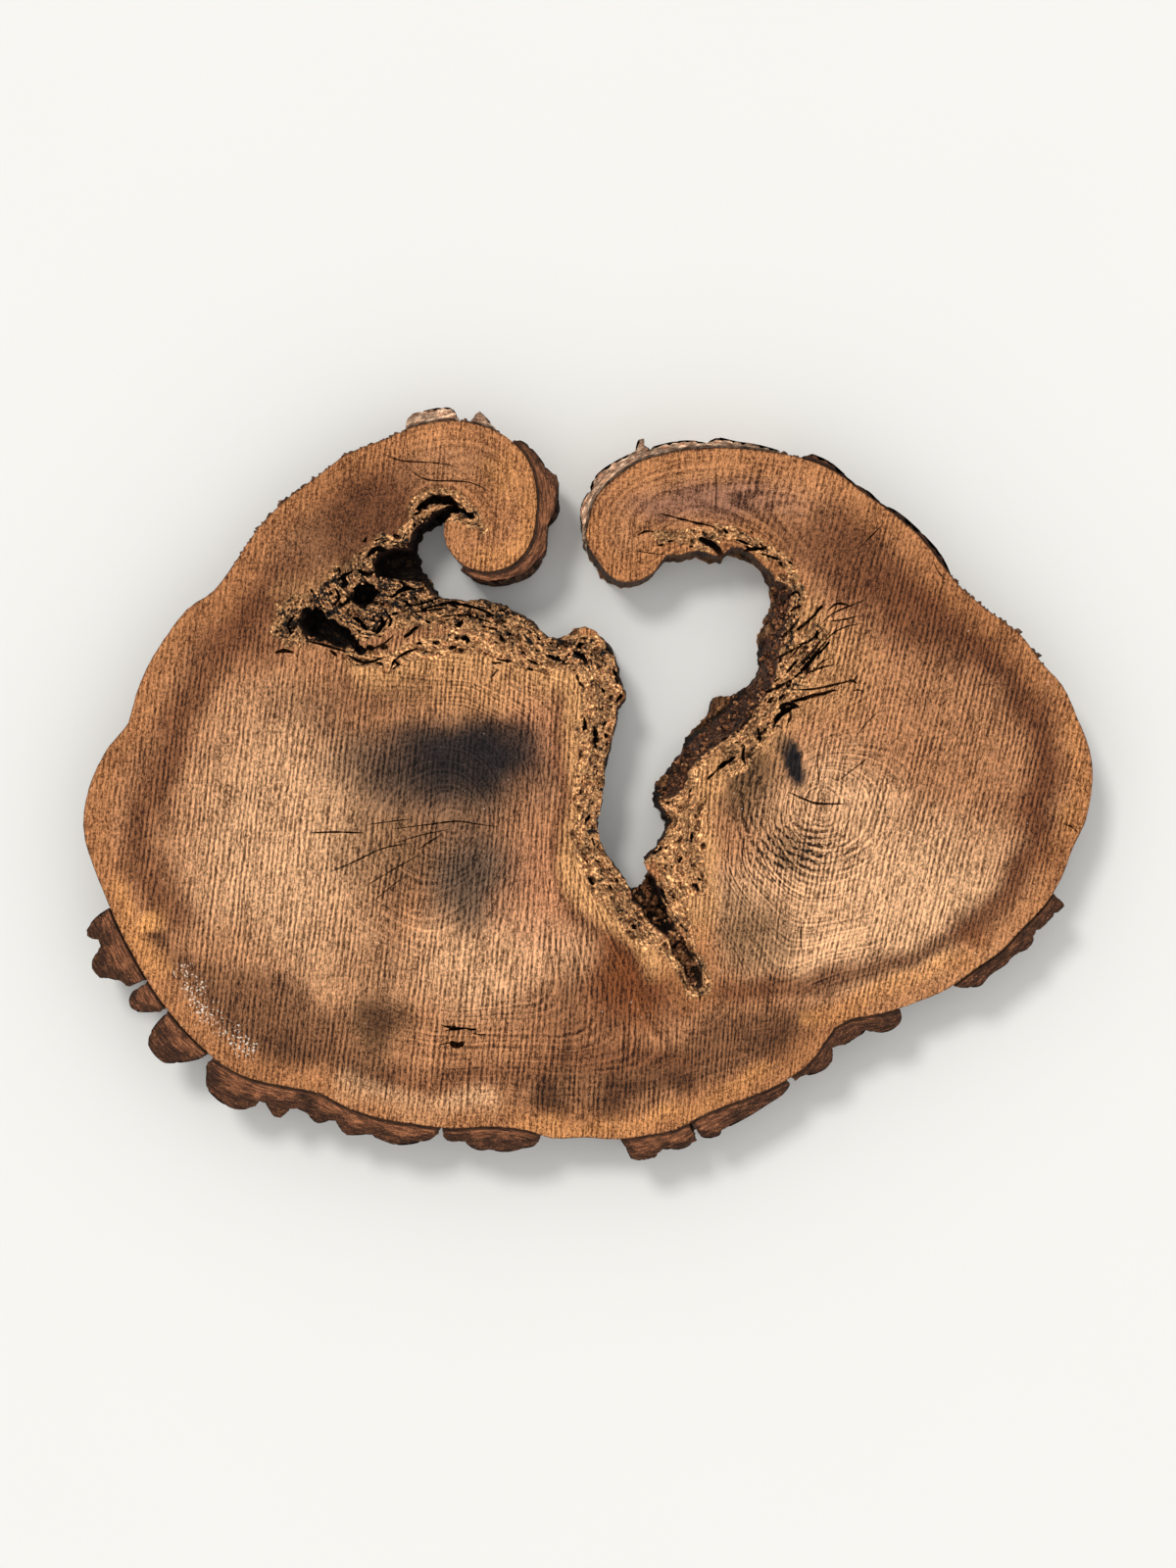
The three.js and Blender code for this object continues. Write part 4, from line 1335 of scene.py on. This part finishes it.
def add_bark_crumbs(per_point, material):
    """Small chips of bark that stick to the stretches of edge that have lost theirs."""
    draw = random.Random(RANDOM_SEED + 1)
    places = EDGE.points / MM
    chosen = []
    for line, reach, share, outward in CRUMB_STRETCHES:
        near = np.nonzero(distance_to_line(places, np.array(line, float)) < reach)[0]
        count = round(len(near) * share * per_point)
        chosen += [(index, outward) for index in draw.choices(list(near), k=count)]
    bm = bmesh.new()
    for index, outward in chosen:
        x, y = EDGE.points[index]
        along = EDGE.tangents[index]
        out = Vector((along[1], -along[0])) * draw.uniform(-0.2, outward) * MM
        size = draw.choice(CHIP_SIZES) * MM
        height = draw.uniform(0.25, 1.0) ** 0.5 * (FRONT - 3 * MM)
        turn = Matrix.Rotation(draw.uniform(0, 2 * math.pi), 4, "Z")
        turn = turn @ Matrix.Rotation(draw.gauss(0, 0.4), 4, "X")
        thin, tall = draw.uniform(0.4, 0.8), draw.uniform(0.8, 2.2)
        shape = Matrix.Diagonal((size, size * thin, size * tall, 1))
        place = Matrix.Translation((x + out.x, y + out.y, max(6 * MM, height)))
        for v in add_lump(bm, place @ turn @ shape, size, 1.6, 0.4):
            v.co.z = min(v.co.z, FRONT - 0.2 * MM)
    made = object_from(bm, "bark_crumbs")
    points = mesh_points(made.data)
    flat = np.zeros(len(points))
    put_floats(made.data, wall=flat + 1, furrow=flat, rim=flat + FAR_FROM_RIM)
    put_grainwise(made.data, points)
    made.data.materials.append(material)
    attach(made, "root")


def add_rot_crumbs(wood, thickly):
    """Crumbs of rotten wood: dark ones down on the crust, lighter ones in the rotten face."""
    draw = random.Random(RANDOM_SEED + 2)
    tree = BVHTree.FromObject(wood, bpy.context.evaluated_depsgraph_get())
    fields = [*CRUMB_FIELDS, *(
        (line, reach, opened, 0.7, 12, BAND_CRUMB_SIZES, (0.3, 1.05), 1.0)
        for line, reach, opened in ROT_BANDS
    )]
    bm = bmesh.new()
    shades = []
    for line, reach, opened, shallow, deep, sizes, lights, thickness in fields:
        for start, end in zip(line[:-1], line[1:]):
            run = math.hypot(end[0] - start[0], end[1] - start[1])
            for _ in range(round(run * reach * (0.3 + 0.7 * opened) * thickness * thickly)):
                x, y = strewn(draw, start, end, reach)
                size = draw.choice(sizes) * MM
                light = draw.uniform(*lights)
                if noise(Vector((x, y, 11)) / 9) < -0.16:
                    continue
                above = Vector((x * MM, y * MM, FRONT + 10 * MM))
                hit, normal = tree.ray_cast(above, Vector((0, 0, -1)))[:2]
                if hit is None or normal.z < 0.4 or not shallow * MM < FRONT - hit.z < deep * MM:
                    continue
                tall = size * draw.uniform(0.35, 0.6)
                middle = min(hit.z + 0.3 * tall, FRONT - 0.3 * MM - 1.3 * tall)
                turn = Matrix.Rotation(draw.uniform(0, 2 * math.pi), 4, "Z")
                shape = Matrix.Diagonal((size * 0.6, size * draw.uniform(0.25, 0.5), tall, 1))
                place = Matrix.Translation((x * MM, y * MM, middle))
                shades += [light] * len(add_lump(bm, place @ turn @ shape, size, 1.4, 0.16))
    made = object_from(bm, "rot_crumbs")
    put_floats(made.data, light=shades)
    made.data.materials.append(rot_crumb_material())
    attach(made, "root")


class BarkSettings(bpy.types.PropertyGroup):
    crumbs_per_point: FloatProperty(
        name="Crumbs", description="How thickly the small chips of bark lie along the bare edge",
        default=1.6, min=0.0,
    )


class WoodSettings(bpy.types.PropertyGroup):
    face_pitch: FloatProperty(
        name="Face pitch", description="Size of the facets on the sawn front face",
        default=0.0045, min=0.003, unit="LENGTH",
    )
    back_pitch: FloatProperty(
        name="Back pitch", description="Size of the facets on the sawn back face",
        default=0.009, min=0.005, unit="LENGTH",
    )
    rings: IntProperty(
        name="Growth rings", description="Rings from a pith to the bark", default=58, min=10,
    )
    saw_pitch: FloatProperty(
        name="Saw mark pitch", description="Millimetres from one saw mark to the next",
        default=5.1, min=2.0,
    )
    worm_holes: IntProperty(
        name="Small holes", description="Small holes in the rotten wood", default=440, min=0,
    )
    rot_crumbs: FloatProperty(
        name="Rot crumbs", description="How thickly the crumbs lie in the rotten wood",
        default=0.14, min=0.0,
    )


class StageSettings(bpy.types.PropertyGroup):
    camera_height: FloatProperty(
        name="Camera height", description="From the front face up to the camera",
        default=4.6, min=0.5, unit="LENGTH",
    )
    view_height: FloatProperty(
        name="View height", description="What the picture's height shows of the front face",
        default=1.6, min=0.2, unit="LENGTH",
    )
    floor_colour: FloatVectorProperty(
        name="Floor colour", description="Colour of the pale floor", subtype="COLOR",
        default=(0.83, 0.836, 0.826), min=0.0, max=1.0,
    )
    room_light: FloatProperty(
        name="Room light", description="Strength of the soft light from all round",
        default=0.82, min=0.0,
    )
    key_light: FloatProperty(
        name="Key light", description="Strength of the light from the upper left",
        default=1.15, min=0.0,
    )


class COOKIE_OT_wood(bpy.types.Operator):
    """Dress the sawn slab: its faces, walls, rotted heart and splits"""

    bl_idname = "cookie.wood"
    bl_label = "Dress the wood"

    def execute(self, context):
        settings = context.scene.cookie_wood
        bm = merged_copy("wood")
        refine_walls(bm, WALL_EDGE * MM)
        weather_walls(bm)
        made = object_from(bm, "dressed_wood")
        combine(made, front_block(settings.face_pitch), "INTERSECT")
        combine(made, back_block(settings.back_pitch), "INTERSECT")
        cut_splits(made)
        cut_worm_holes(made, settings.worm_holes)
        wood_attributes(made.data, settings.rings)
        made.data.materials.clear()
        made.data.materials.append(WoodShader(settings.saw_pitch).build())
        made.data.polygons.foreach_set("material_index", [0] * len(made.data.polygons))
        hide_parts("wood")
        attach(made, "root")
        add_rot_crumbs(made, settings.rot_crumbs)
        return {"FINISHED"}


class COOKIE_OT_bark(bpy.types.Operator):
    """Dress every piece of bark that is left on the slab"""

    bl_idname = "cookie.bark"
    bl_label = "Dress the bark"

    def execute(self, context):
        walnut = bark_material(
            "walnut_bark", dark=(68, 39, 26), light=(164, 106, 72),
            outer_dark=(52, 35, 26), outer_light=(128, 92, 68), crack_and_rim_darkness=0.75, flaky=0.3,
        )
        papery = bark_material(
            "papery_bark", dark=(158, 102, 70), light=(250, 212, 178),
            outer_dark=(136, 96, 70), outer_light=(238, 206, 178), crack_and_rim_darkness=0.2, flaky=0.8,
        )
        slots = {part["node"]: part["material_slot"] for part in frame["record"]["subparts"]}
        for node, slot in slots.items():
            if slot != "sawn_walnut":
                flaky = slot == "papery_bark"
                rough = 3.2 if node == "bark_top_right_crust" else 2.4 if flaky else 1.5
                dress_bark(node, papery if flaky else walnut, rough)
        add_bark_crumbs(context.scene.cookie_bark.crumbs_per_point, walnut)
        return {"FINISHED"}


class COOKIE_OT_stage(bpy.types.Operator):
    """Set the floor, the lights and the camera"""

    bl_idname = "cookie.stage"
    bl_label = "Set the stage"

    def execute(self, context):
        settings = context.scene.cookie_stage
        scene = context.scene
        scene.view_settings.view_transform = "Standard"
        bm = bmesh.new()
        bmesh.ops.create_grid(bm, x_segments=1, y_segments=1, size=FLOOR_REACH)
        floor = object_from(bm, "floor")
        paint = Shader("pale_floor")
        grain = paint.noise(paint.place, 3.0, 2.0)
        tint = paint.shade(settings.floor_colour, paint.ramp(grain, 0.0, 1.0, 0.995, 1.005))
        floor.data.materials.append(paint.finish(tint, 0.9, grain, 0.1 * MM, 0.1))

        world = bpy.data.worlds.new("soft_room")
        world.use_nodes = True
        room = world.node_tree.nodes["Background"].inputs
        room["Color"].default_value = (1.0, 0.99, 0.97, 1)
        room["Strength"].default_value = settings.room_light
        scene.world = world

        key = bpy.data.lights.new("key", "SUN")
        key.angle = math.radians(KEY_SPREAD)
        key.energy = settings.key_light
        key.color = (1.0, 0.97, 0.92)
        made = bpy.data.objects.new("key", key)
        made.rotation_euler = Vector(KEY_DIRECTION).to_track_quat("-Z", "Y").to_euler()
        scene.collection.objects.link(made)

        camera = bpy.data.cameras.new("camera")
        camera.sensor_fit = "AUTO"
        camera.lens = camera.sensor_width * settings.camera_height / settings.view_height
        camera.clip_end = CAMERA_RANGE
        made = bpy.data.objects.new("camera", camera)
        made.location = (0, 0, FRONT + settings.camera_height)
        scene.collection.objects.link(made)
        scene.camera = made
        return {"FINISHED"}


class COOKIE_PT_panel(bpy.types.Panel):
    """The steps that make the wood cookie"""

    bl_label = "Wood cookie"
    bl_idname = "COOKIE_PT_panel"
    bl_space_type = "VIEW_3D"
    bl_region_type = "UI"
    bl_category = "Wood cookie"

    def draw(self, context):
        scene = context.scene
        for settings in (scene.cookie_wood, scene.cookie_bark, scene.cookie_stage):
            for name in settings.__annotations__:
                self.layout.prop(settings, name)
        for operator in OPERATORS:
            self.layout.operator(operator.bl_idname)


OPERATORS = (COOKIE_OT_wood, COOKIE_OT_bark, COOKIE_OT_stage)
CLASSES = (WoodSettings, BarkSettings, StageSettings, *OPERATORS, COOKIE_PT_panel)


def register():
    for item in CLASSES:
        bpy.utils.register_class(item)
    bpy.types.Scene.cookie_wood = PointerProperty(type=WoodSettings)
    bpy.types.Scene.cookie_bark = PointerProperty(type=BarkSettings)
    bpy.types.Scene.cookie_stage = PointerProperty(type=StageSettings)


def unregister():
    del bpy.types.Scene.cookie_wood
    del bpy.types.Scene.cookie_bark
    del bpy.types.Scene.cookie_stage
    for item in reversed(CLASSES):
        bpy.utils.unregister_class(item)


def main():
    register()
    bpy.ops.cookie.wood()
    bpy.ops.cookie.bark()
    bpy.ops.cookie.stage()


if __name__ == "__main__":
    main()
